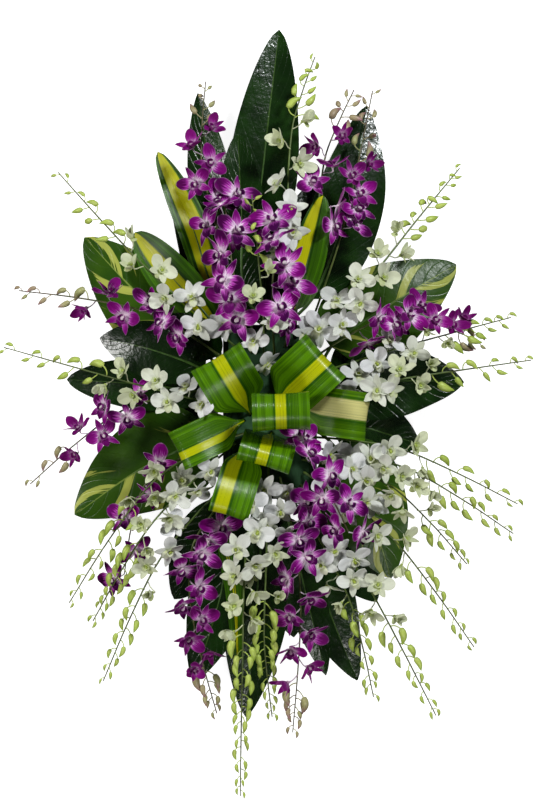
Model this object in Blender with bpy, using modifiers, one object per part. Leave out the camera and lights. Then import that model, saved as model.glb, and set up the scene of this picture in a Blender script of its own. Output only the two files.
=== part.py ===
"""Orchid wreath: a flat-backed arrangement of dendrobium sprays, large leaves and a bow of folded
dracaena leaves, all stuck into a block of floral foam in a shallow plastic tray.

It lies on its back. +Z points out of its face, +Y to its top and +X to its right as it is seen
when it hangs. The origin is the middle of the tray's underside. Sizes in the tables and in the
layout functions are millimetres, and MM turns them into Blender's metres where a mesh is made.
"""
import math
import random

import bmesh
import bpy
from mathutils import Matrix, Vector
from mathutils.bvhtree import BVHTree

MM = 0.001
MERGE = 0.00001
SEED = 7
UP = Vector((0.0, 0.0, 1.0))
DOWN_PAGE = Vector((0.0, -1.0, 0.0))

# Colour and roughness of each material
MATERIALS = {
    "tray_plastic": ((0.02, 0.045, 0.03, 1), 0.4),
    "floral_foam": ((0.05, 0.16, 0.06, 1), 0.95),
    "dark_leaf": ((0.012, 0.05, 0.012, 1), 0.25),
    "variegated_leaf": ((0.10, 0.24, 0.03, 1), 0.35),
    "striped_leaf": ((0.16, 0.26, 0.02, 1), 0.3),
    "white_orchid": ((0.80, 0.82, 0.78, 1), 0.6),
    "purple_orchid": ((0.30, 0.01, 0.22, 1), 0.55),
}
LEAF_SLOTS = {"strap": "striped_leaf", "heart": "variegated_leaf"}

# Holder: a shallow tray with the foam block standing in it, as half widths, heights and walls
FOAM_X, FOAM_Y = 58.0, 115.0
FOAM_BOTTOM, FOAM_TOP = 3.4, 82.0
FOAM_EDGE = 4.0
TRAY_WALL = 3.0
TRAY_HEIGHT = 20.0
TRAY_FIT = 0.5
TRAY_CORNER = 8.0
LIP_WIDTH, LIP_THICK = 5.0, 2.5

# Roots: how deep stalks stand in the foam, how far apart and how far from its edges
ROOT_DEPTH = 22.0
ROOT_SPACING = 13.5
SIDE_MARGIN = 32.0
SIDE_LEVELS = (28, 30, 42, 54)
SIDE_AIM_X, SIDE_AIM_Y = 0.5, 0.55
TOP_MARGIN = 9.0
STALK_HOLE_R, STEM_HOLE_R = 5.0, 3.3
HOLE_PLAY = 0.4

# Stems of sprays, stalks of leaves and loops, stalks of blooms and buds
STEM_R, STEM_TIP_R = 1.9, 0.8
STEM_RISE = 7.0
STEM_STEPS = 2
PETIOLE_R = 2.4
PETIOLE_RISE = 8.0
STALK_THICK, LEAF_THICK = 4.0, 1.0
SIDE_PETIOLE_R, SIDE_LEAF_OUT, SIDE_LEAF_DEPTH = 1.4, 5.0, 3.0
LEAF_SPANS, SIDE_LEAF_SPANS = [1, 1, 1, 2, 3], [1, 1, 1, 1, 2]
KNOT_RISE = 14.0
LOOP_STEPS = 12
LOOP_OPENING = 0.55
LOOP_SPREAD = 0.42
PEDICEL_R = 1.0
STAR_THICK = 1.6
BUD_STALK, BUD_LENGTH, BUD_R = 13.0, 22.0, 4.4
BUD_STALK_R, BUD_NOSE_R = 0.8, 0.35

# Towards a spray's tip its blooms are smaller and less open, by these shares. The inner share of
# a bloom keeps clear of the others on its spray.
SHRINK = 0.22
HEART = 0.85
WHITE_CLOSING, PURPLE_CLOSING = 0.85, 0.6

# Clearances: room kept round each piece, and the least height over what the wreath lies on
GUARD = 0.9
LEAST_HEIGHT = 3.0

# Every bud has its place, but only one in this many is modelled, from a spray's tip on
BUD_STEP = 6

# Each leaf: kind, width, side level in the foam or None for its top, blade base, tip, sideways
# bow and camber of the blade, roll in degrees about its midrib
LEAVES = {
    "leaf_top": ("arrow", 98, 30, (-22, 205, 44), (13, 539, 34), -2, 10, 4),
    "leaf_north_west": ("plain", 70, 30, (-52, 178, 40), (-102, 451, 26), -4, 8, -12),
    "leaf_north_east": ("plain", 104, 30, (60, 160, 44), (137, 433, 26), 12, 14, 14),
    "leaf_behind_dracaena": ("plain", 64, 30, (-76, 140, 28), (-139, 324, 20), 10, 8, -6),
    "leaf_front": ("oval", 68, 42, (-34, 160, 66), (-45, 389, 66), 0, 10, 0),
    "pothos_west": ("heart", 132, 30, (-86, 80, 34), (-263, 247, 16), -6, 12, 6),
    "leaf_west": ("plain", 84, 42, (-92, 58, 58), (-240, 104, 30), 6, 10, -4),
    "leaf_west_low": ("oval", 72, 30, (-84, 24, 30), (-288, 46, 14), 4, 10, 0),
    "pothos_south_west": ("heart", 138, 30, (-84, -32, 36), (-277, -146, 16), 8, 12, 4),
    "pothos_north_east": ("heart", 132, 30, (86, 92, 38), (264, 209, 18), -4, 12, -6),
    "leaf_east": ("plain", 102, 30, (84, 20, 34), (275, 42, 14), -12, 12, 4),
    "pothos_south_east": ("heart", 126, 30, (92, -50, 36), (172, -236, 16), -8, 12, -4),
    "leaf_south_east": ("plain", 86, 30, (48, -142, 36), (124, -381, 16), 8, 10, -6),
    "leaf_south_small": ("plain", 60, 42, (24, -148, 52), (79, -372, 24), 0, 8, 6),
    "leaf_south": ("plain", 94, 30, (-8, -142, 34), (-34, -433, 16), 0, 10, 0),
    "leaf_south_west": ("plain", 90, 30, (-46, -142, 36), (-108, -383, 16), -6, 10, 6),
    "dracaena_north_west": ("strap", 46, 42, (-70, 158, 60), (-158, 366, 40), 4, 8, 14),
    "dracaena_west": ("strap", 66, 54, (-76, 116, 64), (-190, 252, 48), 0, 10, -14),
    "dracaena_south": ("strap", 28, 54, (-62, -150, 66), (-45, -352, 46), -4, 10, 30),
    "dracaena_north": ("strap", 48, None, (36, 142, 112), (73, 298, 118), 0, 8, 0),
    "leaf_fold": ("oval", 60, 54, (-74, 78, 64), (-140, 134, 82), 0, 10, 10),
}

# Side leaves low down: leaf whose stalk each grows from, then as above
SIDE_LEAVES = {
    "side_north": ("leaf_north_east", "plain", 84, (24, 150, 22), (66, 330, 14), 0, 8, 0),
    "side_north_low": ("leaf_top", "plain", 66, (-6, 130, 20), (-6, 252, 12), 0, 6, 0),
    "side_north_west": ("leaf_front", "plain", 70, (-24, 134, 54), (-96, 238, 52), 0, 8, 0),
    "side_east_high": ("leaf_east", "plain", 92, (92, 42, 26), (205, 118, 16), 0, 8, 0),
    "side_east_low": ("leaf_east", "plain", 88, (92, -8, 26), (212, -46, 14), 0, 8, 0),
    "side_south_east": ("leaf_south_east", "plain", 86, (60, -130, 20), (152, -270, 12), 0, 4, 0),
    "side_south": ("leaf_south_small", "plain", 80, (8, -144, 24), (34, -320, 14), 0, 8, 0),
    "side_south_west": ("leaf_south_west", "plain", 92, (-56, -130, 22), (-136, -266, 12), 0, 8, 0),
    "side_west": ("leaf_west_low", "plain", 84, (-88, -4, 24), (-215, -24, 12), 0, 8, 0),
}

# Outline of a blade by kind: where it is widest, how blunt it is, its fold along the midrib
BLADES = {
    "arrow": (0.716, 0.62, 0.12),
    "plain": (0.78, 0.72, 0.10),
    "oval": (0.86, 0.60, 0.08),
    "heart": (0.60, 0.66, -0.06),
    "strap": (0.86, 0.50, 0.14),
}

# Each loop of the bow: foot on the foam, azimuth and slope in degrees, reach, bulge, band width
LOOPS = {
    "loop_north_west": ((-28, -2), 121, 26, 98, 27, 78),
    "loop_north_east": ((8, 14), 43, 30, 104, 28, 80),
    "loop_east": ((42, 6), -8, 22, 98, 30, 66),
    "loop_west": ((-38, -12), 205, 20, 104, 22, 56),
    "loop_south_west": ((-28, -44), 253, 24, 110, 24, 56),
    "loop_centre": ((15, -10), 92, 80, 92, 34, 78),
    "loop_south": ((2, -30), 254, 62, 80, 22, 74),
}

# Each spray: foot on the foam, points it passes, number of blooms and their stretch of the stem,
# their radius, number of buds. The last point is its tip.
WHITE_SPRAYS = {
    "white_north_west": ((-45, 88), [(-168, 196, 112), (-298, 337, 45)], 7, 0.16, 0.58, 28, 10),
    "white_west": ((-50, 4), [(-168, 34, 108), (-375, 91, 40)], 8, 0.14, 0.54, 28, 10),
    "white_north": ((22, 106), [(24, 280, 118), (32, 400, 90), (63, 497, 62)], 7, 0.32, 0.74, 30, 10),
    "white_centre": ((-9, 62), [(-10, 140, 150), (-25, 297, 140)], 5, 0.18, 0.60, 26, 7),
    "white_north_east": (
        (50, 88), [(133, 178, 118), (200, 262, 84), (266, 342, 52)], 10, 0.12, 0.60, 29, 14
    ),
    "white_east_high": ((52, 48), [(182, 90, 98), (339, 133, 42)], 5, 0.36, 0.66, 26, 10),
    "white_east": ((50, 22), [(182, 46, 100), (368, 73, 36)], 8, 0.18, 0.54, 28, 10),
    "white_south_east_high": ((50, -28), [(178, -44, 104), (349, -127, 42)], 5, 0.26, 0.54, 29, 10),
    "white_south_east": ((50, -48), [(185, -76, 112), (342, -171, 46)], 7, 0.18, 0.58, 28, 11),
    "white_south_east_low": ((46, -66), [(160, -98, 118), (277, -214, 42)], 6, 0.20, 0.64, 26, 10),
    "white_lower_east": ((48, -84), [(165, -170, 100), (288, -332, 36)], 5, 0.26, 0.54, 28, 13),
    "white_lower_east_long": ((44, -102), [(138, -245, 100), (234, -428, 36)], 6, 0.30, 0.58, 28, 14),
    "white_lower_east_inner": ((28, -106), [(108, -255, 96), (146, -402, 36)], 3, 0.38, 0.54, 26, 14),
    "white_south_long": (
        (-12, -98), [(-31, -170, 132), (-38, -340, 92), (-42, -543, 30)], 11, 0.10, 0.48, 28, 26
    ),
    "white_south": ((-2, -72), [(-5, -200, 118), (-8, -320, 88), (3, -428, 50)], 6, 0.16, 0.52, 26, 24),
    "white_south_west": ((-50, -30), [(-158, -93, 112), (-283, -269, 42)], 7, 0.14, 0.50, 29, 14),
    "white_south_west_mid": ((-50, -44), [(-160, -150, 116), (-249, -294, 42)], 6, 0.22, 0.58, 26, 16),
    "white_south_west_low": ((-46, -84), [(-150, -200, 98), (-235, -379, 36)], 4, 0.34, 0.58, 26, 13),
}
PURPLE_SPRAYS = {
    "purple_north_north_west": (
        (-30, 104), [(-75, 260, 118), (-95, 350, 92), (-90, 462, 64)], 7, 0.40, 0.80, 32, 6
    ),
    "purple_north_left": ((-26, 84), [(-50, 190, 148), (-62, 288, 116)], 7, 0.34, 1.0, 37, 0),
    "purple_north_right": ((6, 82), [(4, 185, 146), (22, 268, 124)], 7, 0.34, 1.0, 37, 0),
    "purple_north_north_east": (
        (38, 106), [(58, 270, 116), (72, 360, 90), (115, 451, 62)], 7, 0.42, 0.80, 32, 7
    ),
    "purple_north_east": ((52, 102), [(100, 250, 98), (144, 451, 52)], 5, 0.48, 0.70, 31, 7),
    "purple_west": ((-50, 64), [(-170, 138, 90), (-354, 171, 36)], 6, 0.30, 0.68, 34, 7),
    "purple_east": ((50, 66), [(168, 132, 104), (297, 98, 52)], 8, 0.38, 0.84, 33, 5),
    "purple_west_low": ((-50, 36), [(-200, 5, 80), (-339, -102, 28)], 6, 0.42, 0.74, 32, 5),
    "purple_south_west": (
        (-46, -102), [(-105, -180, 112), (-108, -280, 90), (-75, -425, 36)], 11, 0.16, 0.78, 34, 9
    ),
    "purple_centre": ((26, -40), [(64, -80, 150), (108, -165, 118)], 8, 0.20, 1.0, 33, 0),
    "purple_south": (
        (14, -92), [(38, -200, 114), (42, -300, 88), (32, -452, 36)], 11, 0.16, 0.78, 34, 10
    ),
    "purple_behind_west": ((-50, -14), [(-170, -95, 74), (-205, -228, 44)], 5, 0.46, 1.0, 31, 0),
}

# Petals of a bloom, as angle round its face, length as a share of its radius and whether it is
# one of the broad pair: two petals and three pointed sepals, with notches between them
PETALS = [(90, 0.94, False), (24, 1.0, True), (-48, 0.92, False), (-132, 0.92, False), (156, 1.0, True)]
NOTCH = 0.42
OPEN_CUP, CLOSING_CUP = 8.0, 58.0

# Corners of a bloom's three-sided stalk, as angles round its back
NECK_ANGLES = [90, -30, -150]

# Tries for a bloom, in order: size, stalk length, swing from straight up round the stem
BLOOM_SIZES = (1.0, 0.9, 0.8)
BLOOM_REACHES = (20, 27, 15, 34)
BLOOM_SWINGS = (38, 12, 62, -18, 84, -45, -75)
BUD_SWINGS = (70, 100, 40, 130, 10, -60, -100)


def catmull_rom(points, spans):
    """A smooth curve through the points, with the given number of steps in each span."""
    ends = [points[0] * 2 - points[1]] + list(points) + [points[-1] * 2 - points[-2]]
    curve = [points[0].copy()]
    for i, steps in enumerate(spans):
        before, start, end, after = ends[i:i + 4]
        knots = [0.0]
        for a, b in ((before, start), (start, end), (end, after)):
            knots.append(knots[-1] + math.sqrt(max((b - a).length, 1e-6)))
        for k in range(1, steps + 1):
            t = knots[1] + (knots[2] - knots[1]) * k / steps
            row = [before, start, end, after]
            for level in (1, 2, 3):
                row = [
                    row[j].lerp(row[j + 1], (t - low) / (high - low))
                    for j, (low, high) in enumerate(blend_knots(knots, level))
                ]
            curve.append(row[0])
    return curve


def blend_knots(knots, level):
    """The knot intervals of one level of a centripetal Catmull-Rom curve."""
    if level == 1:
        return [(knots[0], knots[1]), (knots[1], knots[2]), (knots[2], knots[3])]
    if level == 2:
        return [(knots[0], knots[2]), (knots[1], knots[3])]
    return [(knots[1], knots[2])]


def tangents(points):
    """The direction of a line at each of its points."""
    last = len(points) - 1
    return [(points[min(i + 1, last)] - points[max(i - 1, 0)]).normalized() for i in range(last + 1)]


def at_share(points, share):
    """The point and direction at a share of the polyline's length."""
    lengths = [(b - a).length for a, b in zip(points, points[1:])]
    left = share * sum(lengths)
    for a, b, length in zip(points, points[1:], lengths):
        if left <= length:
            return a.lerp(b, left / length), (b - a).normalized()
        left -= length
    return points[-1].copy(), (points[-1] - points[-2]).normalized()


def loft(rings):
    """Points and triangles of the closed skin over rings that have the same number of points."""
    count = len(rings[0])
    faces = [(0, j + 1, j) for j in range(1, count - 1)]
    for i in range(len(rings) - 1):
        for j in range(count):
            a, b = i * count + j, i * count + (j + 1) % count
            faces += [(a, b, b + count), (a, b + count, a + count)]
    last = (len(rings) - 1) * count
    faces += [(last, last + j, last + j + 1) for j in range(1, count - 1)]
    return [p for ring in rings for p in ring], faces


def tube_rings(points, radii, sides=4):
    """Circles round the points of a line, carried along it without twist."""
    directions = tangents(points)
    across = directions[0].orthogonal().normalized()
    turns = [2 * math.pi * k / sides for k in range(sides)]
    rings = []
    for point, direction, radius in zip(points, directions, radii):
        across = (across - direction * across.dot(direction)).normalized()
        other = direction.cross(across)
        rings.append([point + (across * math.cos(a) + other * math.sin(a)) * radius for a in turns])
    return rings


def tube(points, radii, sides=4):
    """A closed round bar along a line."""
    return loft(tube_rings(points, radii, sides))


class Space:
    """What already has its place, for testing that the next piece is clear of it."""

    def __init__(self):
        self.items = []

    @staticmethod
    def ball(points):
        """A sphere round the points."""
        centre = sum(points, Vector()) / len(points)
        return centre, max((p - centre).length for p in points)

    def add(self, shape, owner):
        """Keeps a shape of points and triangles under its owner's name."""
        self.items.append((*self.ball(shape[0]), BVHTree.FromPolygons(*shape, all_triangles=True), owner))

    def clear(self, shape, ignore=()):
        """Whether a shape crosses nothing, other than what the ignored owners have."""
        centre, radius = self.ball(shape[0])
        near = [
            item for item in self.items
            if item[3] not in ignore and (item[0] - centre).length < item[1] + radius
        ]
        if not near:
            return True
        tree = BVHTree.FromPolygons(*shape, all_triangles=True)
        return not any(tree.overlap(item[2]) for item in near)


def clamp(value, limit):
    """The value, kept between minus and plus the limit."""
    return max(-limit, min(limit, value))


def spaced(candidates, taken):
    """The candidates that keep their distance from every root already set in the foam."""
    return [p for p in candidates if all((p - other).length >= ROOT_SPACING for other in taken)]


def side_roots(target, level, taken):
    """Where a stalk that heads for the target can enter a side of the foam, the nearest first, and
    the way it comes out.
    """
    if abs(target.x) - FOAM_X > abs(target.y) - FOAM_Y:
        out = Vector((math.copysign(1, target.x), 0, 0))
        along, wish, limit = Vector((0, 1, 0)), target.y * SIDE_AIM_Y, FOAM_Y - SIDE_MARGIN
        face = FOAM_X
    else:
        out = Vector((0, math.copysign(1, target.y), 0))
        along, wish, limit = Vector((1, 0, 0)), target.x * SIDE_AIM_X, FOAM_X - SIDE_MARGIN
        face = FOAM_Y
    places = [(s * 3, z) for s in range(-30, 31) for z in SIDE_LEVELS]
    places.sort(key=lambda place: abs(place[0]) + abs(place[1] - level))
    return spaced([
        out * face + along * (clamp(wish, limit) + step) + UP * z for step, z in places
        if abs(clamp(wish, limit) + step) <= limit
    ], taken), out


def top_roots(foot, taken):
    """Where a stem can enter the foam's top, those nearest to its wished foot first."""
    x, y = clamp(foot[0], FOAM_X - TOP_MARGIN), clamp(foot[1], FOAM_Y - TOP_MARGIN)
    rounds = [(0, 0)] + [(r, a) for r in range(2, 40, 2) for a in range(0, 360, 20)]
    places = [(x + r * math.cos(math.radians(a)), y + r * math.sin(math.radians(a))) for r, a in rounds]
    return spaced([
        Vector((px, py, FOAM_TOP)) for px, py in places
        if abs(px) <= FOAM_X - TOP_MARGIN and abs(py) <= FOAM_Y - TOP_MARGIN
    ], taken)


def blade_width(kind, width, share):
    """The width of a leaf's blade at a share of its length."""
    widest, blunt, _ = BLADES[kind]
    return width * math.sin(math.pi * min(max(share, 0.0), 1.0) ** widest) ** blunt


def leaf_frames(form, root, out, depth, lift, spans):
    """The leaf's midrib as rows of point, side, normal, half width and share of the blade, which
    is 0 along its stalk.
    """
    kind, width, stalk, base, tip, bow, camber, roll = form
    base, tip = Vector(base) + UP * lift, Vector(tip) + UP * lift
    across = (tip - base).cross(UP).normalized()
    middle = (base + tip) / 2 + UP * camber + across * bow
    points = catmull_rom([root - out * depth, root, root + out * PETIOLE_RISE, base, middle, tip], spans)
    directions = tangents(points)
    blade_start = sum(spans[:3])
    lengths = [0.0]
    for a, b in zip(points[blade_start:], points[blade_start + 1:]):
        lengths.append(lengths[-1] + (b - a).length)
    rows = []
    side = directions[0].cross(UP)
    side = side.normalized() if side.length > 0.1 else (tip - root).cross(UP).normalized()
    for i, (point, direction) in enumerate(zip(points, directions)):
        level_side = direction.cross(UP)
        if i >= 2 and level_side.length > 0.1:
            side = level_side.normalized()
        share = lengths[i - blade_start] / lengths[-1] if i >= blade_start else 0.0
        rolled = Matrix.Rotation(math.radians(roll) * min(1.0, share * 3), 3, direction)
        edgeward = rolled @ (side - direction * side.dot(direction)).normalized()
        least = stalk if share < 0.5 else stalk / 4
        half = max(blade_width(kind, width, share) / 2, least)
        rows.append((point, edgeward, edgeward.cross(direction), half, share))
    return rows


def leaf_point(kind, row, across, above=0.0):
    """A point of the blade: across runs from -1 to 1 over its width, above is along its normal."""
    point, side, normal, half, _ = row
    fold = BLADES[kind][2] * half * abs(across) ** 1.3 if half > PETIOLE_R else 0.0
    return point + side * (across * half) + normal * (fold + above)


def leaf_slab(kind, rows, half_thick):
    """The leaf as a closed slab, for clearance."""
    rings = []
    for row in rows:
        thick = half_thick + (STALK_THICK if row[4] == 0.0 else LEAF_THICK) / 2
        top = [leaf_point(kind, row, c, thick) for c in (-1, 0, 1)]
        under = [leaf_point(kind, row, c, -thick) for c in (1, 0, -1)]
        rings.append(top + under)
    return loft(rings)


def loop_rows(name, root, lift):
    """A loop's strip as rows of point, side, normal, half width and thickness, from its stalk in
    the foam round a drop-shaped curve and back to the knot over the stalk.
    """
    _, azimuth, slope, reach, bulge, width = LOOPS[name]
    heading, slope = math.radians(azimuth), math.radians(slope)
    flat = Vector((math.cos(heading), math.sin(heading), 0))
    along = flat * math.cos(slope) + UP * math.sin(slope)
    across = UP * math.cos(slope) - flat * math.sin(slope)
    side = along.cross(across)
    knot = root + UP * (KNOT_RISE + lift)
    rows = [[root + UP * z, side, None, PETIOLE_R, STALK_THICK] for z in (-ROOT_DEPTH, 0)]
    for k in range(LOOP_STEPS + 1):
        turn = 2 * math.pi - LOOP_OPENING - 2 * (math.pi - LOOP_OPENING) * k / LOOP_STEPS
        out = (1 - math.cos(turn)) / 2
        rise = math.sin(turn) * math.sin(turn / 2) ** 1.4
        spread = min(1.0, out / LOOP_SPREAD)
        half = PETIOLE_R + (width / 2 - PETIOLE_R) * spread * spread * (3 - 2 * spread)
        rows.append([knot + along * (out * reach) + across * (rise * bulge), side, None, half, LEAF_THICK])
    for row, direction in zip(rows, tangents([row[0] for row in rows])):
        row[2] = direction.cross(side).normalized()
    return rows


def loop_slab(rows, extra=0.0):
    """The strip as a closed slab, with room round it."""
    rings = []
    for point, side, normal, half, thick in rows:
        edges = [point - side * (half + extra), point + side * (half + extra)]
        above = normal * (thick / 2 + extra)
        rings.append([e + above for e in edges] + [e - above for e in reversed(edges)])
    return loft(rings)


def stem_points(root, vias, lift, shift):
    """The spray's stem: straight in the foam, then a smooth arch through its points to its tip."""
    away = Vector((vias[-1][0] - root.x, vias[-1][1] - root.y, 0)).normalized()
    moved = UP * lift + away.cross(UP) * shift
    passed = [Vector(p) + moved * (0.4 if i == len(vias) - 1 else 1.0) for i, p in enumerate(vias)]
    spans = [1, 1] + [STEM_STEPS] * len(passed)
    return catmull_rom([root - UP * ROOT_DEPTH, root, root + UP * STEM_RISE] + passed, spans)


def stem_radii(points, extra=0.0):
    """A stem's radius at each point, thinner towards its tip."""
    last = len(points) - 1
    return [STEM_R + (STEM_TIP_R - STEM_R) * (i / last) ** 1.5 + extra for i in range(last + 1)]


def star_outline():
    """Angle and share of the radius of each tip and notch of a bloom seen from its face."""
    outline = []
    for i, (angle, length, _) in enumerate(PETALS):
        gap = (angle - PETALS[(i + 1) % len(PETALS)][0]) % 360
        outline += [(angle, length), (angle - gap / 2, NOTCH)]
    return outline


def star_points(bloom, extra):
    """The rim of a bloom, its petals drawn forward as it is less open."""
    cup = math.radians(OPEN_CUP + CLOSING_CUP * (1 - bloom["open"]))
    points = []
    for angle, share in star_outline():
        a = math.radians(angle)
        rim = Vector((math.cos(a) * math.cos(cup), math.sin(a) * math.cos(cup), math.sin(cup)))
        points.append(rim * (bloom["radius"] + extra) * share)
    return points


def nearest_neck(angle):
    """Which corner of its stalk a rim point of the bloom is nearest to."""
    return min(range(len(NECK_ANGLES)), key=lambda k: abs((angle - NECK_ANGLES[k] + 180) % 360 - 180))


def bloom_matrix(bloom):
    """From a bloom's own axes, face along +Z and top sepal along +Y, to the object's."""
    face = bloom["face"]
    top = (bloom["top"] - face * bloom["top"].dot(face)).normalized()
    turn = Matrix((top.cross(face), top, face)).transposed()
    return Matrix.Translation(bloom["centre"]) @ turn.to_4x4()


def star_shape(bloom, extra=0.0):
    """A bloom's star as points and triangles, or the same with room round it."""
    place = bloom_matrix(bloom)
    rings = [star_points(bloom, extra)]
    if extra:
        rings = [[p + UP * z for p in rings[0]] for z in (-extra, extra)]
    points = [p for outline in rings for p in outline]
    points += [UP * -(STAR_THICK + extra), UP * (STAR_THICK + extra)]
    count, back, front = len(rings[0]), len(points) - 2, len(points) - 1
    top = back - count
    faces = []
    for j in range(count):
        k = (j + 1) % count
        faces += [(j, back, k), (top + j, top + k, front)]
        if extra:
            faces += [(j, k, top + k), (j, top + k, top + j)]
    return [place @ p for p in points], faces


def bud_line(bud):
    """A bud's stalk and body as points and radii, from inside the stem to its nose."""
    start, stalk, nose = bud["start"], bud["stalk"], bud["nose"]
    neck = start + stalk * bud["stalk_length"]
    belly, end = neck + nose * bud["length"] * 0.45, neck + nose * bud["length"]
    radii = [BUD_STALK_R / 2, BUD_STALK_R, BUD_STALK_R, bud["belly"], BUD_NOSE_R]
    return [start, start + stalk * BUD_STALK_R, neck, belly, end], radii


def lay_out():
    """Places every piece so that none touches another: bow, leaves, stems, blooms, then buds."""
    space, taken = Space(), []
    corners = ((-FOAM_X, -FOAM_Y), (FOAM_X, -FOAM_Y), (FOAM_X, FOAM_Y), (-FOAM_X, FOAM_Y))
    foam = loft([[Vector((x, y, z)) for x, y in corners] for z in (FOAM_BOTTOM, FOAM_TOP)])
    plan = {"leaves": {}, "side_leaves": {}, "loops": {}, "sprays": {}}
    sprays = {**WHITE_SPRAYS, **PURPLE_SPRAYS}
    for name in LOOPS:
        plan["loops"][name] = settle_loop(space, name, taken)
    for name in LEAVES:
        plan["leaves"][name] = settle_leaf(space, name, taken)
    for name in SIDE_LEAVES:
        plan["side_leaves"][name] = settle_side_leaf(space, name, plan["leaves"])
    for name, spray in sprays.items():
        plan["sprays"][name] = settle_stem(space, name, spray, taken)
    space.add(foam, "foam")
    for name, spray in sprays.items():
        settle_blooms(space, name, spray, plan["sprays"][name])
    for name, spray in sprays.items():
        settle_buds(space, name, spray, plan["sprays"][name])
    return plan


def outside(rows):
    """What of a piece stands outside the foam: its holes keep it clear inside."""
    return rows[1:]


def settle_leaf(space, name, taken):
    """Finds the nearest root and the smallest lift at which a leaf is clear."""
    kind, width, level, *run = LEAVES[name]
    form = (kind, width, PETIOLE_R, *run)
    if level is None:
        roots, out = top_roots(run[0], taken), UP
    else:
        roots, out = side_roots(Vector(run[0]), level, taken)
    ways = [(i, root, lift) for i, root in enumerate(roots[:40]) for lift in range(-12, 40, 3)]
    ways.sort(key=lambda way: way[0] + abs(way[2]))
    for _, root, lift in ways:
        rows = leaf_frames(form, root, out, ROOT_DEPTH, lift, LEAF_SPANS)
        if leaf_clear(space, kind, rows):
            space.add(leaf_slab(kind, outside(rows), 0.0), name)
            taken.append(root)
            return {"form": form, "root": root, "out": out, "depth": ROOT_DEPTH, "lift": lift}
    raise ValueError(f"no clear place for {name}")


def leaf_clear(space, kind, rows, ignore=()):
    """Whether a leaf is over what the wreath lies on and crosses nothing outside the foam."""
    low = min(leaf_point(kind, row, c, -1).z for row in rows for c in (-1, 0, 1))
    return low > LEAST_HEIGHT and space.clear(leaf_slab(kind, outside(rows), GUARD), ignore)


def settle_side_leaf(space, name, leaves):
    """Finds the smallest lift at which a side leaf is clear of all but what shares its stalk."""
    host, kind, width, *run = SIDE_LEAVES[name]
    form, out = (kind, width, SIDE_PETIOLE_R, *run), leaves[host]["out"]
    root = leaves[host]["root"] + out * SIDE_LEAF_OUT
    for lift in sorted(range(-15, 40, 3), key=abs):
        rows = leaf_frames(form, root, out, SIDE_LEAF_DEPTH, lift, SIDE_LEAF_SPANS)
        if leaf_clear(space, kind, rows, (host,)):
            space.add(leaf_slab(kind, rows, 0.0), host)
            return {"form": form, "root": root, "out": out, "depth": SIDE_LEAF_DEPTH, "lift": lift}
    raise ValueError(f"no clear place for {name}")


def settle_loop(space, name, taken):
    """Finds the smallest lift of its knot at which a loop is clear."""
    root = top_roots(LOOPS[name][0], taken)[0]
    for lift in sorted(range(-8, 60, 2), key=abs):
        rows = outside(loop_rows(name, root, lift))
        if space.clear(loop_slab(rows, GUARD)):
            space.add(loop_slab(rows), name)
            taken.append(root)
            return {"root": root, "lift": lift}
    raise ValueError(f"no clear place for {name}")


def settle_stem(space, name, spray, taken):
    """Finds the nearest root and the smallest move of the stem's way at which it is clear."""
    moves = [(lift, shift) for lift in range(-9, 58, 3) for shift in range(-24, 25, 6)]
    moves.sort(key=lambda move: abs(move[0]) + abs(move[1]) * 1.2)
    roots = top_roots(spray[0], taken)
    for reach, root in [(12, root) for root in roots] + [(99, root) for root in roots]:
        for lift, shift in (move for move in moves if abs(move[0]) + abs(move[1]) * 1.2 <= reach):
            points = stem_points(root, spray[1], lift, shift)
            if space.clear(tube(points[1:], stem_radii(points, GUARD)[1:], 6)):
                space.add(tube(points[1:], stem_radii(points)[1:]), name)
                taken.append(root)
                return {"points": points, "blooms": [], "hearts": Space(), "buds": []}
    raise ValueError(f"no clear way for {name}")


def settle_blooms(space, name, spray, placed):
    """Sets a spray's blooms along its stem by turns on either side, less open towards its tip."""
    _, _, count, first, last, radius, buds = spray
    points = placed["points"]
    for i in range(count):
        through = i / max(count - 1, 1)
        start, along = at_share(points, first + (last - first) * through)
        draw = random.Random(f"{name} {i} {SEED}")
        jitter = Vector([draw.uniform(-0.75, 0.75) for _ in range(3)])
        spin = math.radians(draw.uniform(-65, 65))
        ageing = through ** 2 if buds else 0.0
        bloom = {
            "radius": radius * (1 - SHRINK * ageing),
            "open": 1 - (WHITE_CLOSING if name in WHITE_SPRAYS else PURPLE_CLOSING) * ageing,
            "top": Matrix.Rotation(spin, 3, UP) @ Vector((0, 1, 0)),
        }
        find_bloom(space, name, placed, bloom, start, along, jitter, -1 if i % 2 else 1)


def find_bloom(space, name, placed, bloom, start, along, jitter, hand):
    """Tries reaches, swings and sizes until the bloom and its pedicel are clear."""
    lift = (UP - along * UP.dot(along)).normalized()
    side = along.cross(lift)
    full = bloom["radius"]
    for size in BLOOM_SIZES:
        for reach in BLOOM_REACHES:
            for swing in BLOOM_SWINGS:
                turn = math.radians(swing) * hand
                away = lift * math.cos(turn) + side * math.sin(turn)
                away = (away + along * 0.25).normalized()
                trial = dict(bloom, radius=full * size, start=start, centre=start + away * reach)
                trial["face"] = (UP * 0.7 + away * 0.8 + along * 0.3 + jitter).normalized()
                if try_bloom(space, name, trial, placed["hearts"]):
                    placed["blooms"].append(trial)
                    return


def pedicel(bloom):
    """The stalk from inside the stem to inside the bloom's middle."""
    return [bloom["start"], bloom["centre"] - bloom["face"] * 0.2]


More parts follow.
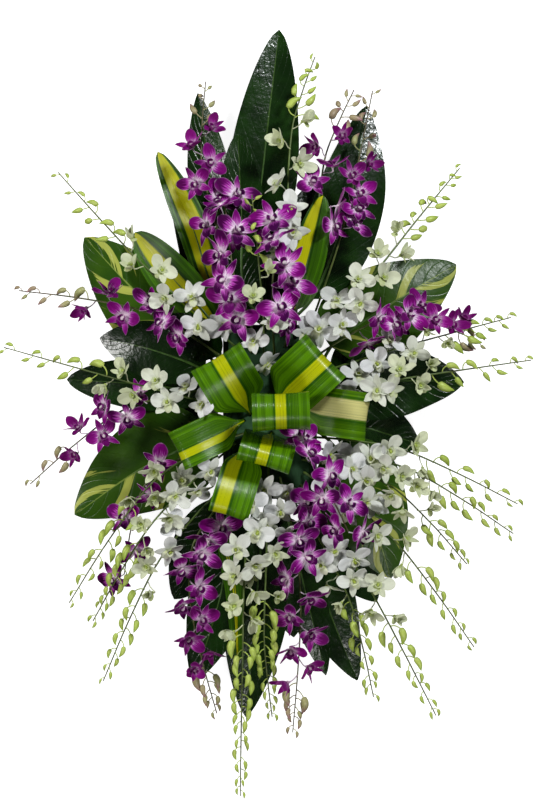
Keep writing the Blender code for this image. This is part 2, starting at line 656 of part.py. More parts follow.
def try_bloom(space, name, bloom, hearts):
    """Keeps a bloom's place if it and its stalk are clear. Only the tips of its petals may cross
    those of its own spray, with which it is one piece.
    """
    if min(p.z for p in star_shape(bloom)[0]) < LEAST_HEIGHT:
        return False
    start, end = pedicel(bloom)
    stalk = tube([start, end], [PEDICEL_R + GUARD] * 2, 6)
    own, heart = name + " blooms", star_shape(dict(bloom, radius=bloom["radius"] * HEART))
    if not space.clear(star_shape(bloom, GUARD), ignore=(own,)) or not hearts.clear(heart):
        return False
    if not space.clear(stalk, ignore=(name,)):
        return False
    space.add(star_shape(bloom), own)
    space.add(tube([start, end], [PEDICEL_R] * 2, 3), own)
    hearts.add(heart, own)
    return True


def settle_buds(space, name, spray, placed):
    """Sets a spray's buds from its last bloom to its tip, by turns on either side and smaller
    towards the tip, each with its nose along the stem and hanging down the wreath a little.
    """
    _, _, _, _, last, _, count = spray
    points = placed["points"]
    for i in range(count):
        draw = random.Random(f"{name} bud {i} {SEED}")
        through = min(1.0, (i + draw.uniform(-0.45, 0.45)) / max(count - 1, 1))
        share = last + 0.03 + (0.985 - last - 0.03) * max(0.0, through)
        start, along = at_share(points, share)
        lift = (UP - along * UP.dot(along)).normalized()
        side = along.cross(lift)
        hand = -1 if i % 2 else 1
        jitter = Vector([draw.uniform(-0.35, 0.35) for _ in range(3)])
        size = (1.05 - 0.6 * through) * draw.uniform(0.85, 1.15)
        for swing in BUD_SWINGS:
            turn = math.radians(swing + draw.uniform(-25, 25)) * hand
            away = lift * math.cos(turn) + side * math.sin(turn)
            stalk = (away + along * 0.6).normalized()
            nose = (away * 0.1 + along * 0.85 + DOWN_PAGE * 0.5 + jitter).normalized()
            bud = {
                "start": start, "stalk": stalk, "nose": nose, "stalk_length": BUD_STALK * size,
                "length": BUD_LENGTH * size, "belly": BUD_R * size,
            }
            line, radii = bud_line(bud)
            shape = tube(line, [r + GUARD for r in radii], 6)
            if min(p.z for p in shape[0]) > LEAST_HEIGHT and space.clear(shape, ignore=(name,)):
                space.add(tube(line, radii, 3), name + " buds")
                placed["buds"].append(bud)
                break


def material(slot):
    """The named material, made once."""
    if slot not in bpy.data.materials:
        colour, roughness = MATERIALS[slot]
        made = bpy.data.materials.new(slot)
        made.use_nodes = True
        shader = made.node_tree.nodes["Principled BSDF"]
        shader.inputs["Base Color"].default_value = colour
        shader.inputs["Roughness"].default_value = roughness
        made.diffuse_color = colour
    return bpy.data.materials[slot]


def new_object(name, data, collection, slot=None):
    """An object in a collection, with the material of its slot."""
    item = bpy.data.objects.new(name, data)
    collection.objects.link(item)
    if slot:
        data.materials.append(material(slot))
    return item


def from_bmesh(name, bm, collection, slot=None):
    """A mesh object made from a bmesh, which it uses up."""
    mesh = bpy.data.meshes.new(name)
    bm.to_mesh(mesh)
    bm.free()
    return new_object(name, mesh, collection, slot)


def evaluated_mesh(item):
    """The mesh that an object's modifiers, or its curve, make."""
    graph = bpy.context.evaluated_depsgraph_get()
    mesh = bpy.data.meshes.new_from_object(item.evaluated_get(graph), depsgraph=graph)
    mesh.name = item.name
    return mesh


def flatten(item):
    """Gives a mesh object the shape that its modifiers make."""
    item.data = evaluated_mesh(item)
    item.modifiers.clear()


def curve_to_mesh(curve, slot):
    """Puts a closed mesh of triangles in a curve's place."""
    mesh = evaluated_mesh(curve)
    name, collection = curve.name, curve.users_collection[0]
    bpy.data.objects.remove(curve)
    bm = bmesh.new()
    bm.from_mesh(mesh)
    bmesh.ops.remove_doubles(bm, verts=bm.verts, dist=MERGE)
    bmesh.ops.recalc_face_normals(bm, faces=bm.faces)
    bmesh.ops.triangulate(bm, faces=bm.faces)
    bm.to_mesh(mesh)
    bm.free()
    return new_object(name, mesh, collection, slot)


def combine(item, others, operation):
    """Joins or cuts an object with all of a collection's objects, and removes those."""
    boolean = item.modifiers.new(operation.lower(), "BOOLEAN")
    boolean.operation = operation
    boolean.operand_type = "COLLECTION"
    boolean.collection = others
    boolean.solver = "EXACT"
    item.modifiers.new("triangles", "TRIANGULATE")
    flatten(item)
    for other in list(others.objects):
        bpy.data.objects.remove(other)


def stem_section(collection):
    """The three-sided outline that every stem is drawn along its curve with."""
    outline = bpy.data.curves.new("stem_section", "CURVE")
    spline = outline.splines.new("POLY")
    spline.points.add(2)
    spline.use_cyclic_u = True
    for k, knot in enumerate(spline.points):
        turn = 2 * math.pi * k / 3
        knot.co = (math.cos(turn) * MM, math.sin(turn) * MM, 0, 1)
    return new_object("stem_section", outline, collection)


def bar(name, points, radii, section, collection, slot):
    """A bar along the points, made as a curve that the section is drawn along."""
    curve = bpy.data.curves.new(name, "CURVE")
    curve.dimensions = "3D"
    curve.bevel_mode = "OBJECT"
    curve.bevel_object = section
    curve.use_fill_caps = True
    spline = curve.splines.new("POLY")
    spline.points.add(len(points) - 1)
    for knot, point, radius in zip(spline.points, points, radii):
        knot.co = (*(point * MM), 1)
        knot.radius = radius
    return curve_to_mesh(new_object(name, curve, collection), slot)


def clockwise(verts):
    """The points of a primitive's end in order round its axis."""
    return sorted(verts, key=lambda v: -math.atan2(v.co.y, v.co.x))


def move_to(verts, points):
    """Moves each point of a mesh to a place in millimetres."""
    for vert, point in zip(verts, points):
        vert.co = point * MM


def stalk_ends(bloom, back):
    """The three corners of a bloom's stalk inside the stem, and the three at the bloom's back."""
    away = (back - bloom["start"]).normalized()
    bent = (away + bloom["face"]).normalized()
    across = (bloom["top"] - bent * bloom["top"].dot(bent)).normalized()
    ends = []
    for centre, direction in ((bloom["start"], away), (back, bent)):
        level = (across - direction * across.dot(direction)).normalized()
        other = level.cross(direction)
        ends.append([
            centre + (level * math.sin(a) + other * math.cos(a)) * PEDICEL_R
            for a in (math.radians(angle) for angle in NECK_ANGLES)
        ])
    return ends


def bloom_body(bloom, collection):
    """A bloom on its stalk: a cone pulled out into five petals, its back drawn in to the stalk."""
    bm = bmesh.new()
    *outline, back, front = star_shape(bloom)[0]
    cone = bmesh.ops.create_cone(bm, segments=len(outline), radius1=1, radius2=0, depth=1)["verts"]
    rim = clockwise(v for v in cone if v.co.z < 0)
    move_to((v for v in cone if v.co.z > 0), [front])
    move_to(rim, outline)
    stalk = bmesh.ops.create_cone(bm, cap_ends=True, segments=3, radius1=1, radius2=1, depth=1)["verts"]
    foot, neck = (clockwise(v for v in stalk if v.co.z * end > 0) for end in (-1, 1))
    bm.faces.remove(next(f for f in bm.faces if set(f.verts) == set(neck)))
    for verts, points in zip((foot, neck), stalk_ends(bloom, back)):
        move_to(verts, points)
    nearest = [nearest_neck(angle) for angle, _ in star_outline()]
    for j, vert in enumerate(rim):
        following = (j + 1) % len(rim)
        bm.faces.new((vert, rim[following], neck[nearest[j]]))
        if nearest[j] != nearest[following]:
            bm.faces.new((rim[following], neck[nearest[following]], neck[nearest[j]]))
    bmesh.ops.triangulate(bm, faces=bm.faces)
    return from_bmesh("bloom", bm, collection)


def hole(start, end, radius, collection):
    """A four-sided cutter between two points."""
    bm = bmesh.new()
    along = end - start
    turn = along.to_track_quat("Z", "Y").to_matrix().to_4x4()
    bmesh.ops.create_cone(
        bm, cap_ends=True, segments=4, radius1=radius * MM, radius2=radius * MM,
        depth=along.length * MM, matrix=Matrix.Translation((start + end) / 2 * MM) @ turn,
    )
    return from_bmesh("hole", bm, collection)


def bud_body(bud, collection):
    """A bud and its stalk: a three-sided sphere with its rings moved along the stalk and nose."""
    bm = bmesh.new()
    bmesh.ops.create_uvsphere(bm, u_segments=3, v_segments=4, radius=1)
    line, radii = bud_line(bud)
    levels = {}
    for vert in bm.verts:
        levels.setdefault(round(vert.co.z, 3), []).append(vert)
    for (_, verts), point, circle in zip(sorted(levels.items()), line, tube_rings(line, radii, 3)):
        verts.sort(key=lambda v: (math.atan2(v.co.y, v.co.x) + 1) % (2 * math.pi))
        move_to(verts, circle if len(verts) > 1 else [point])
    bmesh.ops.triangulate(bm, faces=bm.faces)
    return from_bmesh("bud", bm, collection)


def spray(name, placed, slot, section, collection, extras):
    """A spray: its stem with every bloom and bud fused on by its own stalk."""
    item = bar(name, placed["points"], stem_radii(placed["points"]), section, collection, slot)
    for bloom in placed["blooms"]:
        bloom_body(bloom, extras)
    for bud in placed["buds"][::-BUD_STEP]:
        bud_body(bud, extras)
    combine(item, extras, "UNION")


def blade(name, placed, collection):
    """A leaf: a grid moved onto its curved surface and thickened, more so at its stalk."""
    kind, _, stalk, *_ = placed["form"]
    spans = LEAF_SPANS if name in LEAVES else SIDE_LEAF_SPANS
    rows = leaf_frames(
        placed["form"], placed["root"], placed["out"], placed["depth"], placed["lift"], spans
    )
    bm = bmesh.new()
    bmesh.ops.create_grid(bm, x_segments=2, y_segments=len(rows) - 1, size=1)
    last = len(rows) - 1
    thick = []
    for vert in bm.verts:
        row = rows[round((vert.co.y + 1) / 2 * last)]
        vert.co = leaf_point(kind, row, vert.co.x) * MM
        thick.append(stalk / PETIOLE_R if row[4] == 0.0 else LEAF_THICK / STALK_THICK)
    bmesh.ops.triangulate(bm, faces=bm.faces)
    item = from_bmesh(name, bm, collection, LEAF_SLOTS.get(kind, "dark_leaf"))
    thicken(item, STALK_THICK, thick)
    return item


def leaf(name, plan, collection, extras):
    """A leaf, with the side leaves on its stalk joined to it."""
    item = blade(name, plan["leaves"][name], collection)
    on_it = [side for side in SIDE_LEAVES if SIDE_LEAVES[side][0] == name]
    for side in on_it:
        blade(side, plan["side_leaves"][side], extras)
    if on_it:
        combine(item, extras, "UNION")


def thicken(item, thickness, weights):
    """Gives a sheet its thickness, as a share of it at each point."""
    group = item.vertex_groups.new(name="thickness")
    for i, weight in enumerate(weights):
        group.add([i], weight, "REPLACE")
    solidify = item.modifiers.new("thickness", "SOLIDIFY")
    solidify.thickness = thickness * MM
    solidify.offset = 0
    solidify.vertex_group = group.name
    flatten(item)
    item.vertex_groups.clear()
    item.data.shade_smooth()


def bow_loop(name, placed, collection):
    """A loop of the bow: a strap leaf on its stalk, folded round with its tip back at its base."""
    rows = loop_rows(name, placed["root"], placed["lift"])
    bm = bmesh.new()
    last = len(rows) - 1
    bmesh.ops.create_grid(bm, x_segments=1, y_segments=last, size=1)
    thick = []
    for vert in bm.verts:
        point, side, _, half, thickness = rows[round((vert.co.y + 1) / 2 * last)]
        vert.co = (point + side * (half * vert.co.x)) * MM
        thick.append(thickness / STALK_THICK)
    bmesh.ops.triangulate(bm, faces=bm.faces)
    thicken(from_bmesh(name, bm, collection, "striped_leaf"), STALK_THICK, thick)


def block(half_x, half_y, bottom, top):
    """A box round the origin's axis, between two heights."""
    bm = bmesh.new()
    bmesh.ops.create_cube(bm, size=2)
    for vert in bm.verts:
        height = top if vert.co.z > 0 else bottom
        vert.co = Vector((vert.co.x * half_x, vert.co.y * half_y, height)) * MM
    return bm


def foam_block(plan, collection, extras):
    """The foam, its edges worn round, with a plain hole for each stem and stalk."""
    bm = block(FOAM_X, FOAM_Y, FOAM_BOTTOM, FOAM_TOP)
    bmesh.ops.bevel(bm, geom=bm.edges, offset=FOAM_EDGE * MM, segments=1, affect="EDGES")
    item = from_bmesh("foam_block", bm, collection, "floral_foam")
    holes = [(leaf["root"], leaf["out"], STALK_HOLE_R) for leaf in plan["leaves"].values()]
    holes += [(loop["root"], UP, STALK_HOLE_R) for loop in plan["loops"].values()]
    holes += [(placed["points"][1], UP, STEM_HOLE_R) for placed in plan["sprays"].values()]
    for root, out, radius in holes:
        hole(root - out * (ROOT_DEPTH + HOLE_PLAY), root + out * ROOT_DEPTH / 4, radius, extras)
    combine(item, extras, "DIFFERENCE")


def rounded_block(name, half_x, half_y, bottom, top, corner, collection, slot=None):
    """A box with its upright edges rounded."""
    bm = block(half_x, half_y, bottom, top)
    upright = [e for e in bm.edges if abs(e.verts[0].co.z - e.verts[1].co.z) > MM]
    bmesh.ops.bevel(bm, geom=upright, offset=corner * MM, segments=2, profile=0.5, affect="EDGES")
    return from_bmesh(name, bm, collection, slot)


def tray(collection, extras):
    """The shallow tray, with a lip round its rim and the foam's bed inside."""
    inner_x, inner_y = FOAM_X + TRAY_FIT, FOAM_Y + TRAY_FIT
    outer_x, outer_y = inner_x + TRAY_WALL, inner_y + TRAY_WALL
    item = rounded_block(
        "holder_tray", outer_x, outer_y, 0, TRAY_HEIGHT, TRAY_CORNER, collection, "tray_plastic"
    )
    rounded_block(
        "lip", outer_x + LIP_WIDTH, outer_y + LIP_WIDTH, TRAY_HEIGHT - LIP_THICK, TRAY_HEIGHT,
        TRAY_CORNER + LIP_WIDTH, extras,
    )
    combine(item, extras, "UNION")
    rounded_block("bed", inner_x, inner_y, TRAY_WALL, TRAY_HEIGHT * 2, TRAY_WALL, extras)
    combine(item, extras, "DIFFERENCE")


def build():
    """Clears the scene and models the wreath in it. A collection holds what is joined or cut."""
    for item in list(bpy.data.objects):
        bpy.data.objects.remove(item)
    wreath = bpy.data.collections.new("orchid_wreath")
    extras = bpy.data.collections.new("joined_or_cut")
    for collection in (wreath, extras):
        bpy.context.scene.collection.children.link(collection)
    plan = lay_out()
    tray(wreath, extras)
    foam_block(plan, wreath, extras)
    for name, placed in plan["loops"].items():
        bow_loop(name, placed, wreath)
    for name in LEAVES:
        leaf(name, plan, wreath, extras)
    section = stem_section(bpy.context.scene.collection)
    for name, placed in plan["sprays"].items():
        slot = "white_orchid" if name in WHITE_SPRAYS else "purple_orchid"
        spray(name, placed, slot, section, wreath, extras)
    bpy.data.objects.remove(section)
    bpy.data.collections.remove(extras)


if __name__ == "__main__":
    build()
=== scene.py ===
import math
import random

import bpy
import numpy as np
from mathutils import Matrix, Vector
from mathutils.bvhtree import BVHTree


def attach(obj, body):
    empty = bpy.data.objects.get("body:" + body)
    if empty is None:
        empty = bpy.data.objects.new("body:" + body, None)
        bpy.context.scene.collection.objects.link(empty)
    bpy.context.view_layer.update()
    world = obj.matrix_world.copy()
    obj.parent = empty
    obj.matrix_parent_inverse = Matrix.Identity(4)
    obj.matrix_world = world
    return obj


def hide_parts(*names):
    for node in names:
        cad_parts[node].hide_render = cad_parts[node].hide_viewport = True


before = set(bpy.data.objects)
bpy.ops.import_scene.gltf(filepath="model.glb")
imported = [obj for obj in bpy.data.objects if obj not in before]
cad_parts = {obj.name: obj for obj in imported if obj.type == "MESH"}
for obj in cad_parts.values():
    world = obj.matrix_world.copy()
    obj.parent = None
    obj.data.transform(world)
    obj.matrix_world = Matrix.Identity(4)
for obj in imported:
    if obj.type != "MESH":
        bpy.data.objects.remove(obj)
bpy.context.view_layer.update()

MM = 0.001
SEED = 7
UP = Vector((0.0, 0.0, 1.0))
DOWN_PAGE = Vector((0.0, -1.0, 0.0))

# Holder: a shallow tray with the foam block standing in it, as half widths, heights and walls
FOAM_X, FOAM_Y = 58.0, 115.0
FOAM_BOTTOM, FOAM_TOP = 3.4, 82.0

# Roots: how deep stalks stand in the foam, how far apart and how far from its edges
ROOT_DEPTH = 22.0
ROOT_SPACING = 13.5
SIDE_MARGIN = 32.0
SIDE_LEVELS = (28, 30, 42, 54)
SIDE_AIM_X, SIDE_AIM_Y = 0.5, 0.55
TOP_MARGIN = 9.0

# Stems of sprays, stalks of leaves and loops, stalks of blooms and buds
STEM_R, STEM_TIP_R = 1.9, 0.8
STEM_RISE = 7.0
STEM_STEPS = 2
PETIOLE_R = 2.4
PETIOLE_RISE = 8.0
STALK_THICK, LEAF_THICK = 4.0, 1.0
SIDE_PETIOLE_R, SIDE_LEAF_OUT, SIDE_LEAF_DEPTH = 1.4, 5.0, 3.0
LEAF_SPANS, SIDE_LEAF_SPANS = [1, 1, 1, 2, 3], [1, 1, 1, 1, 2]
KNOT_RISE = 14.0
LOOP_STEPS = 12
LOOP_OPENING = 0.55
LOOP_SPREAD = 0.42
PEDICEL_R = 1.0
STAR_THICK = 1.6
BUD_STALK, BUD_LENGTH, BUD_R = 13.0, 22.0, 4.4
BUD_STALK_R, BUD_NOSE_R = 0.8, 0.35

# Towards a spray's tip its blooms are smaller and less open, by these shares. The inner share of
# a bloom keeps clear of the others on its spray.
SHRINK = 0.22
HEART = 0.85
WHITE_CLOSING, PURPLE_CLOSING = 0.85, 0.6

# Clearances: room kept round each piece, and the least height over what the wreath lies on
GUARD = 0.9
LEAST_HEIGHT = 3.0

# Each leaf: kind, width, side level in the foam or None for its top, blade base, tip, sideways
# bow and camber of the blade, roll in degrees about its midrib
LEAVES = {
    "leaf_top": ("arrow", 98, 30, (-22, 205, 44), (13, 539, 34), -2, 10, 4),
    "leaf_north_west": ("plain", 70, 30, (-52, 178, 40), (-102, 451, 26), -4, 8, -12),
    "leaf_north_east": ("plain", 104, 30, (60, 160, 44), (137, 433, 26), 12, 14, 14),
    "leaf_behind_dracaena": ("plain", 64, 30, (-76, 140, 28), (-139, 324, 20), 10, 8, -6),
    "leaf_front": ("oval", 68, 42, (-34, 160, 66), (-45, 389, 66), 0, 10, 0),
    "pothos_west": ("heart", 132, 30, (-86, 80, 34), (-263, 247, 16), -6, 12, 6),
    "leaf_west": ("plain", 84, 42, (-92, 58, 58), (-240, 104, 30), 6, 10, -4),
    "leaf_west_low": ("oval", 72, 30, (-84, 24, 30), (-288, 46, 14), 4, 10, 0),
    "pothos_south_west": ("heart", 138, 30, (-84, -32, 36), (-277, -146, 16), 8, 12, 4),
    "pothos_north_east": ("heart", 132, 30, (86, 92, 38), (264, 209, 18), -4, 12, -6),
    "leaf_east": ("plain", 102, 30, (84, 20, 34), (275, 42, 14), -12, 12, 4),
    "pothos_south_east": ("heart", 126, 30, (92, -50, 36), (172, -236, 16), -8, 12, -4),
    "leaf_south_east": ("plain", 86, 30, (48, -142, 36), (124, -381, 16), 8, 10, -6),
    "leaf_south_small": ("plain", 60, 42, (24, -148, 52), (79, -372, 24), 0, 8, 6),
    "leaf_south": ("plain", 94, 30, (-8, -142, 34), (-34, -433, 16), 0, 10, 0),
    "leaf_south_west": ("plain", 90, 30, (-46, -142, 36), (-108, -383, 16), -6, 10, 6),
    "dracaena_north_west": ("strap", 46, 42, (-70, 158, 60), (-158, 366, 40), 4, 8, 14),
    "dracaena_west": ("strap", 66, 54, (-76, 116, 64), (-190, 252, 48), 0, 10, -14),
    "dracaena_south": ("strap", 28, 54, (-62, -150, 66), (-45, -352, 46), -4, 10, 30),
    "dracaena_north": ("strap", 48, None, (36, 142, 112), (73, 298, 118), 0, 8, 0),
    "leaf_fold": ("oval", 60, 54, (-74, 78, 64), (-140, 134, 82), 0, 10, 10),
}

# Side leaves low down: leaf whose stalk each grows from, then as above
SIDE_LEAVES = {
    "side_north": ("leaf_north_east", "plain", 84, (24, 150, 22), (66, 330, 14), 0, 8, 0),
    "side_north_low": ("leaf_top", "plain", 66, (-6, 130, 20), (-6, 252, 12), 0, 6, 0),
    "side_north_west": ("leaf_front", "plain", 70, (-24, 134, 54), (-96, 238, 52), 0, 8, 0),
    "side_east_high": ("leaf_east", "plain", 92, (92, 42, 26), (205, 118, 16), 0, 8, 0),
    "side_east_low": ("leaf_east", "plain", 88, (92, -8, 26), (212, -46, 14), 0, 8, 0),
    "side_south_east": ("leaf_south_east", "plain", 86, (60, -130, 20), (152, -270, 12), 0, 4, 0),
    "side_south": ("leaf_south_small", "plain", 80, (8, -144, 24), (34, -320, 14), 0, 8, 0),
    "side_south_west": ("leaf_south_west", "plain", 92, (-56, -130, 22), (-136, -266, 12), 0, 8, 0),
    "side_west": ("leaf_west_low", "plain", 84, (-88, -4, 24), (-215, -24, 12), 0, 8, 0),
}

# Outline of a blade by kind: where it is widest, how blunt it is, its fold along the midrib
BLADES = {
    "arrow": (0.716, 0.62, 0.12),
    "plain": (0.78, 0.72, 0.10),
    "oval": (0.86, 0.60, 0.08),
    "heart": (0.60, 0.66, -0.06),
    "strap": (0.86, 0.50, 0.14),
}

# Each loop of the bow: foot on the foam, azimuth and slope in degrees, reach, bulge, band width
LOOPS = {
    "loop_north_west": ((-28, -2), 121, 26, 98, 27, 78),
    "loop_north_east": ((8, 14), 43, 30, 104, 28, 80),
    "loop_east": ((42, 6), -8, 22, 98, 30, 66),
    "loop_west": ((-38, -12), 205, 20, 104, 22, 56),
    "loop_south_west": ((-28, -44), 253, 24, 110, 24, 56),
    "loop_centre": ((15, -10), 92, 80, 92, 34, 78),
    "loop_south": ((2, -30), 254, 62, 80, 22, 74),
}

# Each spray: foot on the foam, points it passes, number of blooms and their stretch of the stem,
# their radius, number of buds. The last point is its tip.
WHITE_SPRAYS = {
    "white_north_west": ((-45, 88), [(-168, 196, 112), (-298, 337, 45)], 7, 0.16, 0.58, 28, 10),
    "white_west": ((-50, 4), [(-168, 34, 108), (-375, 91, 40)], 8, 0.14, 0.54, 28, 10),
    "white_north": ((22, 106), [(24, 280, 118), (32, 400, 90), (63, 497, 62)], 7, 0.32, 0.74, 30, 10),
    "white_centre": ((-9, 62), [(-10, 140, 150), (-25, 297, 140)], 5, 0.18, 0.60, 26, 7),
    "white_north_east": (
        (50, 88), [(133, 178, 118), (200, 262, 84), (266, 342, 52)], 10, 0.12, 0.60, 29, 14
    ),
    "white_east_high": ((52, 48), [(182, 90, 98), (339, 133, 42)], 5, 0.36, 0.66, 26, 10),
    "white_east": ((50, 22), [(182, 46, 100), (368, 73, 36)], 8, 0.18, 0.54, 28, 10),
    "white_south_east_high": ((50, -28), [(178, -44, 104), (349, -127, 42)], 5, 0.26, 0.54, 29, 10),
    "white_south_east": ((50, -48), [(185, -76, 112), (342, -171, 46)], 7, 0.18, 0.58, 28, 11),
    "white_south_east_low": ((46, -66), [(160, -98, 118), (277, -214, 42)], 6, 0.20, 0.64, 26, 10),
    "white_lower_east": ((48, -84), [(165, -170, 100), (288, -332, 36)], 5, 0.26, 0.54, 28, 13),
    "white_lower_east_long": ((44, -102), [(138, -245, 100), (234, -428, 36)], 6, 0.30, 0.58, 28, 14),
    "white_lower_east_inner": ((28, -106), [(108, -255, 96), (146, -402, 36)], 3, 0.38, 0.54, 26, 14),
    "white_south_long": (
        (-12, -98), [(-31, -170, 132), (-38, -340, 92), (-42, -543, 30)], 11, 0.10, 0.48, 28, 26
    ),
    "white_south": ((-2, -72), [(-5, -200, 118), (-8, -320, 88), (3, -428, 50)], 6, 0.16, 0.52, 26, 24),
    "white_south_west": ((-50, -30), [(-158, -93, 112), (-283, -269, 42)], 7, 0.14, 0.50, 29, 14),
    "white_south_west_mid": ((-50, -44), [(-160, -150, 116), (-249, -294, 42)], 6, 0.22, 0.58, 26, 16),
    "white_south_west_low": ((-46, -84), [(-150, -200, 98), (-235, -379, 36)], 4, 0.34, 0.58, 26, 13),
}
PURPLE_SPRAYS = {
    "purple_north_north_west": (
        (-30, 104), [(-75, 260, 118), (-95, 350, 92), (-90, 462, 64)], 7, 0.40, 0.80, 32, 6
    ),
    "purple_north_left": ((-26, 84), [(-50, 190, 148), (-62, 288, 116)], 7, 0.34, 1.0, 37, 0),
    "purple_north_right": ((6, 82), [(4, 185, 146), (22, 268, 124)], 7, 0.34, 1.0, 37, 0),
    "purple_north_north_east": (
        (38, 106), [(58, 270, 116), (72, 360, 90), (115, 451, 62)], 7, 0.42, 0.80, 32, 7
    ),
    "purple_north_east": ((52, 102), [(100, 250, 98), (144, 451, 52)], 5, 0.48, 0.70, 31, 7),
    "purple_west": ((-50, 64), [(-170, 138, 90), (-354, 171, 36)], 6, 0.30, 0.68, 34, 7),
    "purple_east": ((50, 66), [(168, 132, 104), (297, 98, 52)], 8, 0.38, 0.84, 33, 5),
    "purple_west_low": ((-50, 36), [(-200, 5, 80), (-339, -102, 28)], 6, 0.42, 0.74, 32, 5),
    "purple_south_west": (
        (-46, -102), [(-105, -180, 112), (-108, -280, 90), (-75, -425, 36)], 11, 0.16, 0.78, 34, 9
    ),
    "purple_centre": ((26, -40), [(64, -80, 150), (108, -165, 118)], 8, 0.20, 1.0, 33, 0),
    "purple_south": (
        (14, -92), [(38, -200, 114), (42, -300, 88), (32, -452, 36)], 11, 0.16, 0.78, 34, 10
    ),
    "purple_behind_west": ((-50, -14), [(-170, -95, 74), (-205, -228, 44)], 5, 0.46, 1.0, 31, 0),
}

# Petals of a bloom, as angle round its face, length as a share of its radius and whether it is
# one of the broad pair: two petals and three pointed sepals, with notches between them
PETALS = [(90, 0.94, False), (24, 1.0, True), (-48, 0.92, False), (-132, 0.92, False), (156, 1.0, True)]
NOTCH = 0.42
OPEN_CUP, CLOSING_CUP = 8.0, 58.0

# Tries for roots, leaves, loops and stems: places on the foam's sides and round a foot on its top,
# then lifts and, for stems, sideways shifts
SIDE_STEP, SIDE_TRIES = 3, 30
TOP_ROUNDS, TOP_TURNS = range(2, 40, 2), range(0, 360, 20)
LEAF_ROOTS, LEAF_LIFTS, SIDE_LEAF_LIFTS = 40, range(-12, 40, 3), range(-15, 40, 3)
LOOP_LIFTS, STEM_LIFTS, STEM_SHIFTS = range(-8, 60, 2), range(-9, 58, 3), range(-24, 25, 6)
STEM_REACHES, SHIFT_COST = (12, 99), 1.2

# Blooms: seeded spin in degrees and jitter, how far the stalk leans along the stem, and how much
# the face turns up, away from the stem and along it
BLOOM_SPIN, BLOOM_JITTER, BLOOM_LEAN = 65, 0.75, 0.25
FACE_UP, FACE_AWAY, FACE_ALONG = 0.7, 0.8, 0.3

# Buds: their stretch from past the last bloom to the stem's end, seeded unevenness of place, swing
# in degrees, way and size, how size falls off, and how much the stalk and nose turn each way
BUD_GAP, BUD_END = 0.03, 0.985
BUD_UNEVEN, BUD_SWING, BUD_JITTER, BUD_SIZES = 0.45, 25, 0.35, (0.85, 1.15)
BUD_FIRST, BUD_SHRINK = 1.05, 0.6
STALK_ALONG, NOSE_AWAY, NOSE_ALONG, NOSE_DOWN = 0.6, 0.1, 0.85, 0.5

# Tries for a bloom, in order: size, stalk length, swing from straight up round the stem
BLOOM_SIZES = (1.0, 0.9, 0.8)
BLOOM_REACHES = (20, 27, 15, 34)
BLOOM_SWINGS = (38, 12, 62, -18, 84, -45, -75)
BUD_SWINGS = (70, 100, 40, 130, 10, -60, -100)


def catmull_rom(points, spans):
    """A smooth curve through the points, with the given number of steps in each span."""
    ends = [points[0] * 2 - points[1]] + list(points) + [points[-1] * 2 - points[-2]]
    curve = [points[0].copy()]
    for i, steps in enumerate(spans):
        before, start, end, after = ends[i:i + 4]
        knots = [0.0]
        for a, b in ((before, start), (start, end), (end, after)):
            knots.append(knots[-1] + math.sqrt(max((b - a).length, 1e-6)))
        for k in range(1, steps + 1):
            t = knots[1] + (knots[2] - knots[1]) * k / steps
            row = [before, start, end, after]
            for level in (1, 2, 3):
                row = [
                    row[j].lerp(row[j + 1], (t - low) / (high - low))
                    for j, (low, high) in enumerate(blend_knots(knots, level))
                ]
            curve.append(row[0])
    return curve


def blend_knots(knots, level):
    """The knot intervals of one level of a centripetal Catmull-Rom curve."""
    if level == 1:
        return [(knots[0], knots[1]), (knots[1], knots[2]), (knots[2], knots[3])]
    if level == 2:
        return [(knots[0], knots[2]), (knots[1], knots[3])]
    return [(knots[1], knots[2])]


def tangents(points):
    """The direction of a line at each of its points."""
    last = len(points) - 1
    return [(points[min(i + 1, last)] - points[max(i - 1, 0)]).normalized() for i in range(last + 1)]


def at_share(points, share):
    """The point and direction at a share of the polyline's length."""
    lengths = [(b - a).length for a, b in zip(points, points[1:])]
    left = share * sum(lengths)
    for a, b, length in zip(points, points[1:], lengths):
        if left <= length:
            return a.lerp(b, left / length), (b - a).normalized()
        left -= length
    return points[-1].copy(), (points[-1] - points[-2]).normalized()


def loft(rings):
    """Points and triangles of the closed skin over rings that have the same number of points."""
    count = len(rings[0])
    faces = [(0, j + 1, j) for j in range(1, count - 1)]
    for i in range(len(rings) - 1):
        for j in range(count):
            a, b = i * count + j, i * count + (j + 1) % count
            faces += [(a, b, b + count), (a, b + count, a + count)]
    last = (len(rings) - 1) * count
    faces += [(last, last + j, last + j + 1) for j in range(1, count - 1)]
    return [p for ring in rings for p in ring], faces


def tube_rings(points, radii, sides=4):
    """Circles round the points of a line, carried along it without twist."""
    directions = tangents(points)
    across = directions[0].orthogonal().normalized()
    turns = [2 * math.pi * k / sides for k in range(sides)]
    rings = []
    for point, direction, radius in zip(points, directions, radii):
        across = (across - direction * across.dot(direction)).normalized()
        other = direction.cross(across)
        rings.append([point + (across * math.cos(a) + other * math.sin(a)) * radius for a in turns])
    return rings


def tube(points, radii, sides=4):
    """A closed round bar along a line."""
    return loft(tube_rings(points, radii, sides))


